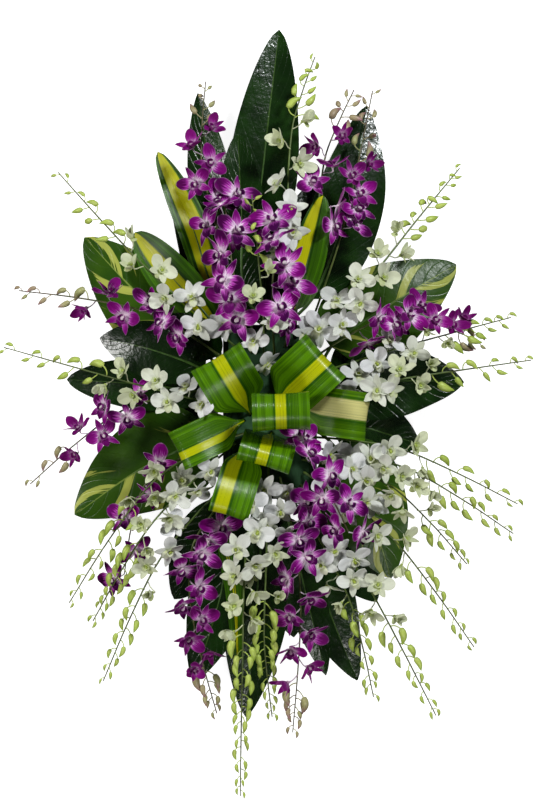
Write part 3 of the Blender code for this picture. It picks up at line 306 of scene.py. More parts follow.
class Space:
    """What already has its place, for testing that the next piece is clear of it."""

    def __init__(self):
        self.items = []

    @staticmethod
    def ball(points):
        """A sphere round the points."""
        centre = sum(points, Vector()) / len(points)
        return centre, max((p - centre).length for p in points)

    def add(self, shape, owner):
        """Keeps a shape of points and triangles under its owner's name."""
        self.items.append((*self.ball(shape[0]), BVHTree.FromPolygons(*shape, all_triangles=True), owner))

    def clear(self, shape, ignore=()):
        """Whether a shape crosses nothing, other than what the ignored owners have."""
        centre, radius = self.ball(shape[0])
        near = [
            item for item in self.items
            if item[3] not in ignore and (item[0] - centre).length < item[1] + radius
        ]
        if not near:
            return True
        tree = BVHTree.FromPolygons(*shape, all_triangles=True)
        return not any(tree.overlap(item[2]) for item in near)


def clamp(value, limit):
    """The value, kept between minus and plus the limit."""
    return max(-limit, min(limit, value))


def spaced(candidates, taken):
    """The candidates that keep their distance from every root already set in the foam."""
    return [p for p in candidates if all((p - other).length >= ROOT_SPACING for other in taken)]


def side_roots(target, level, taken):
    """Where a stalk that heads for the target can enter a side of the foam, the nearest first, and
    the way it comes out.
    """
    if abs(target.x) - FOAM_X > abs(target.y) - FOAM_Y:
        out = Vector((math.copysign(1, target.x), 0, 0))
        along, wish, limit = Vector((0, 1, 0)), target.y * SIDE_AIM_Y, FOAM_Y - SIDE_MARGIN
        face = FOAM_X
    else:
        out = Vector((0, math.copysign(1, target.y), 0))
        along, wish, limit = Vector((1, 0, 0)), target.x * SIDE_AIM_X, FOAM_X - SIDE_MARGIN
        face = FOAM_Y
    steps = range(-SIDE_TRIES, SIDE_TRIES + 1)
    places = [(step * SIDE_STEP, z) for step in steps for z in SIDE_LEVELS]
    places.sort(key=lambda place: abs(place[0]) + abs(place[1] - level))
    return spaced([
        out * face + along * (clamp(wish, limit) + step) + UP * z for step, z in places
        if abs(clamp(wish, limit) + step) <= limit
    ], taken), out


def top_roots(foot, taken):
    """Where a stem can enter the foam's top, those nearest to its wished foot first."""
    x, y = clamp(foot[0], FOAM_X - TOP_MARGIN), clamp(foot[1], FOAM_Y - TOP_MARGIN)
    rounds = [(0, 0)] + [(r, a) for r in TOP_ROUNDS for a in TOP_TURNS]
    places = [(x + r * math.cos(math.radians(a)), y + r * math.sin(math.radians(a))) for r, a in rounds]
    return spaced([
        Vector((px, py, FOAM_TOP)) for px, py in places
        if abs(px) <= FOAM_X - TOP_MARGIN and abs(py) <= FOAM_Y - TOP_MARGIN
    ], taken)


def blade_width(kind, width, share):
    """The width of a leaf's blade at a share of its length."""
    widest, blunt, _ = BLADES[kind]
    return width * math.sin(math.pi * min(max(share, 0.0), 1.0) ** widest) ** blunt


def leaf_frames(form, root, out, depth, lift, spans):
    """The leaf's midrib as rows of point, side, normal, half width and share of the blade, which
    is 0 along its stalk.
    """
    kind, width, stalk, base, tip, bow, camber, roll = form
    base, tip = Vector(base) + UP * lift, Vector(tip) + UP * lift
    across = (tip - base).cross(UP).normalized()
    middle = (base + tip) / 2 + UP * camber + across * bow
    points = catmull_rom([root - out * depth, root, root + out * PETIOLE_RISE, base, middle, tip], spans)
    directions = tangents(points)
    blade_start = sum(spans[:3])
    lengths = [0.0]
    for a, b in zip(points[blade_start:], points[blade_start + 1:]):
        lengths.append(lengths[-1] + (b - a).length)
    rows = []
    side = directions[0].cross(UP)
    side = side.normalized() if side.length > 0.1 else (tip - root).cross(UP).normalized()
    for i, (point, direction) in enumerate(zip(points, directions)):
        level_side = direction.cross(UP)
        if i >= 2 and level_side.length > 0.1:
            side = level_side.normalized()
        share = lengths[i - blade_start] / lengths[-1] if i >= blade_start else 0.0
        rolled = Matrix.Rotation(math.radians(roll) * min(1.0, share * 3), 3, direction)
        edgeward = rolled @ (side - direction * side.dot(direction)).normalized()
        least = stalk if share < 0.5 else stalk / 4
        half = max(blade_width(kind, width, share) / 2, least)
        rows.append((point, edgeward, edgeward.cross(direction), half, share))
    return rows


def leaf_point(kind, row, across, above=0.0):
    """A point of the blade: across runs from -1 to 1 over its width, above is along its normal."""
    point, side, normal, half, _ = row
    fold = BLADES[kind][2] * half * abs(across) ** 1.3 if half > PETIOLE_R else 0.0
    return point + side * (across * half) + normal * (fold + above)


def leaf_slab(kind, rows, half_thick):
    """The leaf as a closed slab, for clearance."""
    rings = []
    for row in rows:
        thick = half_thick + (STALK_THICK if row[4] == 0.0 else LEAF_THICK) / 2
        top = [leaf_point(kind, row, c, thick) for c in (-1, 0, 1)]
        under = [leaf_point(kind, row, c, -thick) for c in (1, 0, -1)]
        rings.append(top + under)
    return loft(rings)


def loop_rows(name, root, lift, steps=LOOP_STEPS):
    """A loop's strip as rows of point, side, normal, half width and thickness, from its stalk in
    the foam round a drop-shaped curve and back to the knot over the stalk.
    """
    _, azimuth, slope, reach, bulge, width = LOOPS[name]
    heading, slope = math.radians(azimuth), math.radians(slope)
    flat = Vector((math.cos(heading), math.sin(heading), 0))
    along = flat * math.cos(slope) + UP * math.sin(slope)
    across = UP * math.cos(slope) - flat * math.sin(slope)
    side = along.cross(across)
    knot = root + UP * (KNOT_RISE + lift)
    rows = [[root + UP * z, side, None, PETIOLE_R, STALK_THICK] for z in (-ROOT_DEPTH, 0)]
    for k in range(steps + 1):
        turn = 2 * math.pi - LOOP_OPENING - 2 * (math.pi - LOOP_OPENING) * k / steps
        out = (1 - math.cos(turn)) / 2
        rise = math.sin(turn) * math.sin(turn / 2) ** 1.4
        spread = min(1.0, out / LOOP_SPREAD)
        half = PETIOLE_R + (width / 2 - PETIOLE_R) * spread * spread * (3 - 2 * spread)
        rows.append([knot + along * (out * reach) + across * (rise * bulge), side, None, half, LEAF_THICK])
    for row, direction in zip(rows, tangents([row[0] for row in rows])):
        row[2] = direction.cross(side).normalized()
    return rows


def loop_slab(rows, extra=0.0):
    """The strip as a closed slab, with room round it."""
    rings = []
    for point, side, normal, half, thick in rows:
        edges = [point - side * (half + extra), point + side * (half + extra)]
        above = normal * (thick / 2 + extra)
        rings.append([e + above for e in edges] + [e - above for e in reversed(edges)])
    return loft(rings)


def stem_points(root, vias, lift, shift):
    """The spray's stem: straight in the foam, then a smooth arch through its points to its tip."""
    away = Vector((vias[-1][0] - root.x, vias[-1][1] - root.y, 0)).normalized()
    moved = UP * lift + away.cross(UP) * shift
    passed = [Vector(p) + moved * (0.4 if i == len(vias) - 1 else 1.0) for i, p in enumerate(vias)]
    spans = [1, 1] + [STEM_STEPS] * len(passed)
    return catmull_rom([root - UP * ROOT_DEPTH, root, root + UP * STEM_RISE] + passed, spans)


def stem_radii(points, extra=0.0):
    """A stem's radius at each point, thinner towards its tip."""
    last = len(points) - 1
    return [STEM_R + (STEM_TIP_R - STEM_R) * (i / last) ** 1.5 + extra for i in range(last + 1)]


def star_outline():
    """Angle and share of the radius of each tip and notch of a bloom seen from its face."""
    outline = []
    for i, (angle, length, _) in enumerate(PETALS):
        gap = (angle - PETALS[(i + 1) % len(PETALS)][0]) % 360
        outline += [(angle, length), (angle - gap / 2, NOTCH)]
    return outline


def star_points(bloom, extra):
    """The rim of a bloom, its petals drawn forward as it is less open."""
    cup = math.radians(OPEN_CUP + CLOSING_CUP * (1 - bloom["open"]))
    points = []
    for angle, share in star_outline():
        a = math.radians(angle)
        rim = Vector((math.cos(a) * math.cos(cup), math.sin(a) * math.cos(cup), math.sin(cup)))
        points.append(rim * (bloom["radius"] + extra) * share)
    return points


def bloom_matrix(bloom):
    """From a bloom's own axes, face along +Z and top sepal along +Y, to the object's."""
    face = bloom["face"]
    top = (bloom["top"] - face * bloom["top"].dot(face)).normalized()
    turn = Matrix((top.cross(face), top, face)).transposed()
    return Matrix.Translation(bloom["centre"]) @ turn.to_4x4()


def star_shape(bloom, extra=0.0):
    """A bloom's star as points and triangles, or the same with room round it."""
    place = bloom_matrix(bloom)
    rings = [star_points(bloom, extra)]
    if extra:
        rings = [[p + UP * z for p in rings[0]] for z in (-extra, extra)]
    points = [p for outline in rings for p in outline]
    points += [UP * -(STAR_THICK + extra), UP * (STAR_THICK + extra)]
    count, back, front = len(rings[0]), len(points) - 2, len(points) - 1
    top = back - count
    faces = []
    for j in range(count):
        k = (j + 1) % count
        faces += [(j, back, k), (top + j, top + k, front)]
        if extra:
            faces += [(j, k, top + k), (j, top + k, top + j)]
    return [place @ p for p in points], faces


def bud_line(bud):
    """A bud's stalk and body as points and radii, from inside the stem to its nose."""
    start, stalk, nose = bud["start"], bud["stalk"], bud["nose"]
    neck = start + stalk * bud["stalk_length"]
    belly, end = neck + nose * bud["length"] * 0.45, neck + nose * bud["length"]
    radii = [BUD_STALK_R / 2, BUD_STALK_R, BUD_STALK_R, bud["belly"], BUD_NOSE_R]
    return [start, start + stalk * BUD_STALK_R, neck, belly, end], radii


def lay_out():
    """Places every piece so that none touches another: bow, leaves, stems, blooms, then buds."""
    space, taken = Space(), []
    corners = ((-FOAM_X, -FOAM_Y), (FOAM_X, -FOAM_Y), (FOAM_X, FOAM_Y), (-FOAM_X, FOAM_Y))
    foam = loft([[Vector((x, y, z)) for x, y in corners] for z in (FOAM_BOTTOM, FOAM_TOP)])
    plan = {"leaves": {}, "side_leaves": {}, "loops": {}, "sprays": {}}
    sprays = {**WHITE_SPRAYS, **PURPLE_SPRAYS}
    for name in LOOPS:
        plan["loops"][name] = settle_loop(space, name, taken)
    for name in LEAVES:
        plan["leaves"][name] = settle_leaf(space, name, taken)
    for name in SIDE_LEAVES:
        plan["side_leaves"][name] = settle_side_leaf(space, name, plan["leaves"])
    for name, spray in sprays.items():
        plan["sprays"][name] = settle_stem(space, name, spray, taken)
    space.add(foam, "foam")
    for name, spray in sprays.items():
        settle_blooms(space, name, spray, plan["sprays"][name])
    for name, spray in sprays.items():
        settle_buds(space, name, spray, plan["sprays"][name])
    return plan


def outside(rows):
    """What of a piece stands outside the foam: its holes keep it clear inside."""
    return rows[1:]


def settle_leaf(space, name, taken):
    """Finds the nearest root and the smallest lift at which a leaf is clear."""
    kind, width, level, *run = LEAVES[name]
    form = (kind, width, PETIOLE_R, *run)
    if level is None:
        roots, out = top_roots(run[0], taken), UP
    else:
        roots, out = side_roots(Vector(run[0]), level, taken)
    ways = [(i, root, lift) for i, root in enumerate(roots[:LEAF_ROOTS]) for lift in LEAF_LIFTS]
    ways.sort(key=lambda way: way[0] + abs(way[2]))
    for _, root, lift in ways:
        rows = leaf_frames(form, root, out, ROOT_DEPTH, lift, LEAF_SPANS)
        if leaf_clear(space, kind, rows):
            space.add(leaf_slab(kind, outside(rows), 0.0), name)
            taken.append(root)
            return {"form": form, "root": root, "out": out, "depth": ROOT_DEPTH, "lift": lift}
    raise ValueError(f"no clear place for {name}")


def leaf_clear(space, kind, rows, ignore=()):
    """Whether a leaf is over what the wreath lies on and crosses nothing outside the foam."""
    low = min(leaf_point(kind, row, c, -1).z for row in rows for c in (-1, 0, 1))
    return low > LEAST_HEIGHT and space.clear(leaf_slab(kind, outside(rows), GUARD), ignore)


def settle_side_leaf(space, name, leaves):
    """Finds the smallest lift at which a side leaf is clear of all but what shares its stalk."""
    host, kind, width, *run = SIDE_LEAVES[name]
    form, out = (kind, width, SIDE_PETIOLE_R, *run), leaves[host]["out"]
    root = leaves[host]["root"] + out * SIDE_LEAF_OUT
    for lift in sorted(SIDE_LEAF_LIFTS, key=abs):
        rows = leaf_frames(form, root, out, SIDE_LEAF_DEPTH, lift, SIDE_LEAF_SPANS)
        if leaf_clear(space, kind, rows, (host,)):
            space.add(leaf_slab(kind, rows, 0.0), host)
            return {"form": form, "root": root, "out": out, "depth": SIDE_LEAF_DEPTH, "lift": lift}
    raise ValueError(f"no clear place for {name}")


def settle_loop(space, name, taken):
    """Finds the smallest lift of its knot at which a loop is clear."""
    root = top_roots(LOOPS[name][0], taken)[0]
    for lift in sorted(LOOP_LIFTS, key=abs):
        rows = outside(loop_rows(name, root, lift))
        if space.clear(loop_slab(rows, GUARD)):
            space.add(loop_slab(rows), name)
            taken.append(root)
            return {"root": root, "lift": lift}
    raise ValueError(f"no clear place for {name}")


def move_size(move):
    """How great a move of a stem's way is, by its lift and sideways shift."""
    return abs(move[0]) + abs(move[1]) * SHIFT_COST


def settle_stem(space, name, spray, taken):
    """Finds the nearest root and the smallest move of the stem's way at which it is clear."""
    moves = [(lift, shift) for lift in STEM_LIFTS for shift in STEM_SHIFTS]
    moves.sort(key=move_size)
    roots = top_roots(spray[0], taken)
    for reach, root in [(reach, root) for reach in STEM_REACHES for root in roots]:
        for lift, shift in (move for move in moves if move_size(move) <= reach):
            points = stem_points(root, spray[1], lift, shift)
            if space.clear(tube(points[1:], stem_radii(points, GUARD)[1:], 6)):
                space.add(tube(points[1:], stem_radii(points)[1:]), name)
                taken.append(root)
                return {"points": points, "blooms": [], "hearts": Space(), "buds": []}
    raise ValueError(f"no clear way for {name}")


def settle_blooms(space, name, spray, placed):
    """Sets a spray's blooms along its stem by turns on either side, less open towards its tip."""
    _, _, count, first, last, radius, buds = spray
    points = placed["points"]
    for i in range(count):
        through = i / max(count - 1, 1)
        start, along = at_share(points, first + (last - first) * through)
        draw = random.Random(f"{name} {i} {SEED}")
        jitter = Vector([draw.uniform(-BLOOM_JITTER, BLOOM_JITTER) for _ in range(3)])
        spin = math.radians(draw.uniform(-BLOOM_SPIN, BLOOM_SPIN))
        ageing = through ** 2 if buds else 0.0
        bloom = {
            "radius": radius * (1 - SHRINK * ageing),
            "open": 1 - (WHITE_CLOSING if name in WHITE_SPRAYS else PURPLE_CLOSING) * ageing,
            "top": Matrix.Rotation(spin, 3, UP) @ Vector((0, 1, 0)),
        }
        find_bloom(space, name, placed, bloom, start, along, jitter, -1 if i % 2 else 1)


def find_bloom(space, name, placed, bloom, start, along, jitter, hand):
    """Tries reaches, swings and sizes until the bloom and its pedicel are clear."""
    lift = (UP - along * UP.dot(along)).normalized()
    side = along.cross(lift)
    full = bloom["radius"]
    for size in BLOOM_SIZES:
        for reach in BLOOM_REACHES:
            for swing in BLOOM_SWINGS:
                turn = math.radians(swing) * hand
                away = lift * math.cos(turn) + side * math.sin(turn)
                away = (away + along * BLOOM_LEAN).normalized()
                trial = dict(bloom, radius=full * size, start=start, centre=start + away * reach)
                face = UP * FACE_UP + away * FACE_AWAY + along * FACE_ALONG + jitter
                trial["face"] = face.normalized()
                if try_bloom(space, name, trial, placed["hearts"]):
                    placed["blooms"].append(trial)
                    return


def pedicel(bloom):
    """The stalk from inside the stem to inside the bloom's middle."""
    return [bloom["start"], bloom["centre"] - bloom["face"] * 0.2]


def try_bloom(space, name, bloom, hearts):
    """Keeps a bloom's place if it and its stalk are clear. Only the tips of its petals may cross
    those of its own spray, with which it is one piece.
    """
    if min(p.z for p in star_shape(bloom)[0]) < LEAST_HEIGHT:
        return False
    start, end = pedicel(bloom)
    stalk = tube([start, end], [PEDICEL_R + GUARD] * 2, 6)
    own, heart = name + " blooms", star_shape(dict(bloom, radius=bloom["radius"] * HEART))
    if not space.clear(star_shape(bloom, GUARD), ignore=(own,)) or not hearts.clear(heart):
        return False
    if not space.clear(stalk, ignore=(name,)):
        return False
    space.add(star_shape(bloom), own)
    space.add(tube([start, end], [PEDICEL_R] * 2, 3), own)
    hearts.add(heart, own)
    return True


def settle_buds(space, name, spray, placed):
    """Sets a spray's buds from its last bloom to its tip, by turns on either side and smaller
    towards the tip, each with its nose along the stem and hanging down the wreath a little.
    """
    _, _, _, _, last, _, count = spray
    points = placed["points"]
    for i in range(count):
        draw = random.Random(f"{name} bud {i} {SEED}")
        through = min(1.0, (i + draw.uniform(-BUD_UNEVEN, BUD_UNEVEN)) / max(count - 1, 1))
        share = last + BUD_GAP + (BUD_END - last - BUD_GAP) * max(0.0, through)
        start, along = at_share(points, share)
        lift = (UP - along * UP.dot(along)).normalized()
        side = along.cross(lift)
        hand = -1 if i % 2 else 1
        jitter = Vector([draw.uniform(-BUD_JITTER, BUD_JITTER) for _ in range(3)])
        size = (BUD_FIRST - BUD_SHRINK * through) * draw.uniform(*BUD_SIZES)
        for swing in BUD_SWINGS:
            turn = math.radians(swing + draw.uniform(-BUD_SWING, BUD_SWING)) * hand
            away = lift * math.cos(turn) + side * math.sin(turn)
            stalk = (away + along * STALK_ALONG).normalized()
            nose = away * NOSE_AWAY + along * NOSE_ALONG + DOWN_PAGE * NOSE_DOWN + jitter
            bud = {
                "start": start, "stalk": stalk, "nose": nose.normalized(), "belly": BUD_R * size,
                "stalk_length": BUD_STALK * size, "length": BUD_LENGTH * size,
            }
            line, radii = bud_line(bud)
            shape = tube(line, [r + GUARD for r in radii], 6)
            if min(p.z for p in shape[0]) > LEAST_HEIGHT and space.clear(shape, ignore=(name,)):
                space.add(tube(line, radii, 3), name + " buds")
                placed["buds"].append(bud)
                break


# Fine surfaces: rows along and columns across each petal, lobe, leaf and loop, steps of a stem, and
# the angle in degrees past which an edge stays sharp
PETAL_ROWS, PETAL_COLUMNS = 12, 9
LOBE_ROWS, LOBE_COLUMNS = 9, 7
LEAF_COLUMNS, LEAF_STEPS = 17, [1, 1, 4, 14, 18]
LOOP_COLUMNS, LOOP_FINE_STEPS = 13, 72
STEM_FINE_STEPS = 5
SHARP_ANGLE = 55

# Materials of a spray, in the order of its slots
STEM, BUD, PETAL, SEPAL, LIP = range(5)

# Each part of a bloom: its width as a share of the bloom's radius, where it is widest, where 1 is
# the middle and more is further out, and how pointed its tip is
FORMS = {
    "white": {"petal": (0.76, 1.35, 0.50), "sepal": (0.47, 0.98, 0.66), "lip": (0.44, 1.15, 0.50)},
    "purple": {"petal": (0.66, 1.22, 0.56), "sepal": (0.35, 0.92, 0.78), "lip": (0.46, 0.95, 0.60)},
}
PETAL_THICK, PETAL_NECK, PETAL_ABOVE = 0.5, 0.16, 0.9
PETAL_RIPPLE, PETAL_GROOVE, GROOVE_WIDTH = 0.13, 0.10, 0.22

# Ranges that petals are drawn from: bend, rise, roll, twist and turn in degrees, the rest as shares
BEND, RISE, CURL = (-14, 44), (-11, 11), (-0.20, 0.14)
ROLL, TWIST, TURN = (-18, 18), (-32, 32), (-8, 8)
LENGTH, WIDTH, WAVES, SWAY = (0.92, 1.04), (0.86, 1.06), (1.1, 1.9), (-0.10, 0.10)

# What closing does to a petal: less bend back, more rise and curl, less width
CLOSING_BEND, CLOSING_RISE, CLOSING_CURL, CLOSING_WIDTH = 40, 12, 0.3, 0.25
YOUNG_TONE = 2.2

# Lip: length of its middle and side lobes, how steeply they rise and then bend back, and the column
LIP_LENGTH, SIDE_LOBE_LENGTH, SIDE_LOBE_FORM, SIDE_LOBE_TURN = 0.62, 0.34, (0.36, 1.1, 0.5), 60
LIP_RISE, LIP_BEND, LIP_CURL, LIP_ABOVE = (54, 20), (88, -14, 20), -0.25, 1.5
SIDE_LOBE_POSE = (68, 30, 0.55)
COLUMN_RADII = (0.10, 0.085, 0.09, 0.05)
COLUMN_SPINE = ((0.03, 0.0), (0.02, 0.12), (-0.03, 0.22), (-0.08, 0.27))
COLUMN_ALONG = (0, 0.02, 0.04, 0.06)

# Stalk of a bloom: its sag, how far it stands out of the bloom's back, the petal's base that it is
# coloured as, its radius at its foot, and how much slimmer its waist and thicker its neck are
PEDICEL_STEPS, PEDICEL_SAG, PEDICEL_BACK, PEDICEL_ALONG = [3, 4, 4], 0.06, 5.5, 0.02
PEDICEL_FOOT, PEDICEL_WAIST, PEDICEL_NECK = 0.95, 0.15, 0.9

# Buds: the step at which the stalk ends, and a body fatter than its solid, bent along its length
# and blunt where it meets its arched stalk
BUD_STEPS, BUD_NECK = [4, 4, 6, 6], 8
BUD_FATTER, BUD_BEND, BUD_ARCH = 1.1, 0.13, 0.16
BUD_LEAST_R, BUD_BLUNT = 0.25, 0.14

# Leaves: waves of their sides, groove along the midrib, and the stalk that runs on under it
LEAF_WAVES, LEAF_WAVE_HEIGHT = (1.6, 2.6), 0.055
MIDRIB_DEPTH, MIDRIB_WIDTH, MIDRIB_FULL = 0.8, 0.06, 12
RIB_R, RIB_TIP_R, RIB_SHARE, RIB_UNDER = 2.3, 0.3, 0.8, 1.2
LOOP_CREASE = 0.07

# Yellow stripe of each striped leaf and loop, as its middle and half width across the blade
STRIPES = {
    "dracaena_north_west": (0.10, 0.62),
    "dracaena_west": (-0.05, 0.40),
    "dracaena_south": (0.0, 0.20),
    "dracaena_north": (-0.42, 0.44),
    "loop_north_west": (0.05, 0.24),
    "loop_north_east": (0.10, 0.24),
    "loop_east": (-0.22, 0.42),
    "loop_west": (-0.30, 0.20),
    "loop_south_west": (0.45, 0.36),
    "loop_centre": (0.0, 0.20),
    "loop_south": (0.10, 0.22),
}
PALE_LOOPS = ("loop_east",)

# Colours of each part of a bloom: body, painted shade (a darker copy of the body laid on in patches
# and towards the tip), throat, the halo round that, and back. Then where the throat starts to fade and
# the body begins, share of its pale rim, and its young colour
GREEN, CREAM, PLUM = (0.40, 0.50, 0.10), (0.60, 0.66, 0.30), (0.20, 0.006, 0.16)
PETAL_COLOURS = {
    "white_petal": (
        (0.84, 0.84, 0.86), (0.72, 0.73, 0.73), (0.50, 0.58, 0.24), (0.74, 0.76, 0.62),
        (0.72, 0.74, 0.68), (0.02, 0.26), 0.0, CREAM,
    ),
    "white_sepal": (
        (0.80, 0.81, 0.80), (0.68, 0.70, 0.64), (0.48, 0.56, 0.20), (0.70, 0.74, 0.54),
        (0.62, 0.67, 0.48), (0.05, 0.34), 0.0, CREAM,
    ),
    "white_lip": (
        (0.76, 0.78, 0.68), (0.68, 0.70, 0.52), (0.28, 0.37, 0.03), (0.54, 0.60, 0.20),
        (0.58, 0.64, 0.40), (0.12, 0.60), 0.0, GREEN,
    ),
    "purple_petal": (
        (0.25, 0.001, 0.215), (0.06, 0.0003, 0.055), (0.92, 0.78, 0.90), (0.50, 0.05, 0.47),
        (0.26, 0.03, 0.22), (0.36, 0.66), 0.30, PLUM,
    ),
    "purple_sepal": (
        (0.26, 0.001, 0.225), (0.09, 0.0005, 0.085), (0.92, 0.80, 0.90), (0.54, 0.09, 0.50),
        (0.38, 0.10, 0.33), (0.36, 0.70), 0.70, PLUM,
    ),
    "purple_lip": (
        (0.12, 0.001, 0.11), (0.05, 0.0005, 0.055), (0.84, 0.72, 0.76), (0.45, 0.08, 0.42),
        (0.20, 0.03, 0.19), (0.22, 0.52), 0.25, PLUM,
    ),
}
RIM_COLOUR = (0.70, 0.50, 0.68)

# Colours of a stem's foot and tip, and of a bud's body and tip
STEM_COLOURS = {
    "leaf_stalk": ((0.06, 0.14, 0.02), (0.05, 0.10, 0.02)),
    "white_spray_stem": ((0.12, 0.20, 0.035), (0.10, 0.12, 0.03)),
    "purple_spray_stem": ((0.12, 0.17, 0.035), (0.11, 0.07, 0.04)),
}
BUD_COLOURS = {
    "white_spray_bud": ((0.56, 0.68, 0.14), (0.34, 0.52, 0.04)),
    "purple_spray_bud": ((0.48, 0.50, 0.20), (0.34, 0.04, 0.20)),
}

# Striped leaves: green, dark lines, stripe, roughness
STRIPED_COLOURS = {
    "striped_blade": ((0.045, 0.14, 0.001), (0.008, 0.040, 0.001), (0.50, 0.50, 0.002), 0.30),
    "bow_band": ((0.068, 0.185, 0.001), (0.014, 0.070, 0.001), (0.46, 0.50, 0.002), 0.26),
    "pale_bow_band": ((0.075, 0.185, 0.002), (0.02, 0.085, 0.001), (0.68, 0.64, 0.24), 0.26),
}

# Sockets of a Mix node for its two colours and their mixture
MIX_A, MIX_B, MIXED = 6, 7, 2

# Stage, in metres: camera, floor, and each lamp's place, size, power and colour
CAMERA_HEIGHT, VIEW_HEIGHT, SENSOR = 3.3, 1.12, 24.0
VIEW_X, VIEW_Y, VIEW_Z = -0.0049, 0.0168, 0.06
FLOOR_REACH, FLOOR_GAP, FLOOR_GLOW = 6.0, 0.0005, 0.92
SKY_COLOUR, SKY_STRENGTH = (0.9, 0.95, 1.0, 1), 0.04
LAMPS = {
    "lamp_key": ((1.5, 2.2, 2.4), 0.45, 84, (0.95, 0.98, 1.0)),
    "lamp_left": ((-2.2, 0.5, 1.7), 0.9, 42, (1.0, 0.99, 0.97)),
    "lamp_foot": ((0.8, -2.2, 2.2), 0.9, 34, (1.0, 0.99, 0.97)),
}


class Skin:
    """The surfaces of one piece: points, four-cornered faces, their materials and their marks.

    Materials paint by a point's marks: how far along its part it is, from 0 to 1, how far
    across, from -1 to 1, a tone that differs from part to part, and 1 on a back.
    """

    def __init__(self):
        self.points, self.faces, self.slots, self.marks = [], [], [], []
        self.count = 0

    def add(self, points, faces, slot, marks):
        """Takes in one closed surface."""
        self.points.append(points)
        self.faces.append(np.asarray(faces) + self.count)
        self.slots.append(np.full(len(faces), slot))
        self.marks.append(marks)
        self.count += len(points)

    def piece(self, name, materials):
        """The finished piece, in metres."""
        mesh = bpy.data.meshes.new(name)
        points = np.concatenate(self.points) * MM
        mesh.from_pydata(points.tolist(), [], np.concatenate(self.faces).tolist())
        for paint in materials:
            mesh.materials.append(paint)
        mesh.polygons.foreach_set("material_index", np.concatenate(self.slots))
        marks = mesh.attributes.new("mark", "FLOAT_COLOR", "POINT")
        marks.data.foreach_set("color", np.concatenate(self.marks).ravel())
        mesh.shade_smooth()
        mesh.set_sharp_from_angle(angle=math.radians(SHARP_ANGLE))
        return in_scene(name, mesh)


def in_scene(name, data):
    """A new object in the scene."""
    item = bpy.data.objects.new(name, data)
    bpy.context.scene.collection.objects.link(item)
    return item


def as_marks(along, across, tone, back):
    """The marks of a grid of points."""
    marks = np.empty((len(along), len(across), 4))
    marks[..., 0] = np.asarray(along)[:, None]
    marks[..., 1] = across
    marks[..., 2] = tone
    marks[..., 3] = back
    return marks.reshape(-1, 4)


def add_sheet(skin, grid, thick, slot, along, across, tone=0.0):
    """A closed sheet over a grid of points, whose face is where along crossed with across points."""
    rows, columns, _ = grid.shape
    normal = np.cross(np.gradient(grid, axis=0), np.gradient(grid, axis=1))
    normal /= np.linalg.norm(normal, axis=2, keepdims=True) + 1e-12
    half = np.broadcast_to(np.asarray(thick, dtype=float) / 2, (rows,))[:, None, None]
    count = rows * columns
    index = np.arange(count).reshape(rows, columns)
    corners = [index[:-1, :-1], index[1:, :-1], index[1:, 1:], index[:-1, 1:]]
    face = np.stack(corners, axis=-1).reshape(-1, 4)
    rim = np.concatenate([index[:-1, 0], index[-1, :-1], index[:0:-1, -1], index[0, :0:-1]])
    following = np.roll(rim, -1)
    edge = np.stack([rim, rim + count, following + count, following], axis=-1)
    sides = [(grid + normal * half * hand).reshape(-1, 3) for hand in (1, -1)]
    marks = np.concatenate([as_marks(along, across, tone, back) for back in (0.0, 1.0)])
    skin.add(np.concatenate(sides), np.concatenate([face, face[:, ::-1] + count, edge]), slot, marks)


def add_tube(skin, points, radii, sides, slot, along, tone=0.0):
    """A closed tube along a line, with an even number of sides."""
    rings = np.array([[tuple(p) for p in ring] for ring in tube_rings(points, radii, sides)])
    rows = len(rings)
    ring_start, turn = np.arange(rows - 1)[:, None] * sides, np.arange(sides)[None, :]
    a, b = (ring_start + turn).ravel(), (ring_start + np.roll(turn, -1)).ravel()
    last = (rows - 1) * sides
    caps = [(0, k + 2, k + 1, k) for k in range(1, sides - 2, 2)]
    caps += [(last, last + k, last + k + 1, last + k + 2) for k in range(1, sides - 2, 2)]
    faces = np.concatenate([np.stack([a, b, b + sides, a + sides], axis=-1), np.array(caps)])
    around = np.cos(np.arange(sides) / sides * 2 * math.pi)
    skin.add(rings.reshape(-1, 3), faces, slot, as_marks(along, around, tone, 0.0))


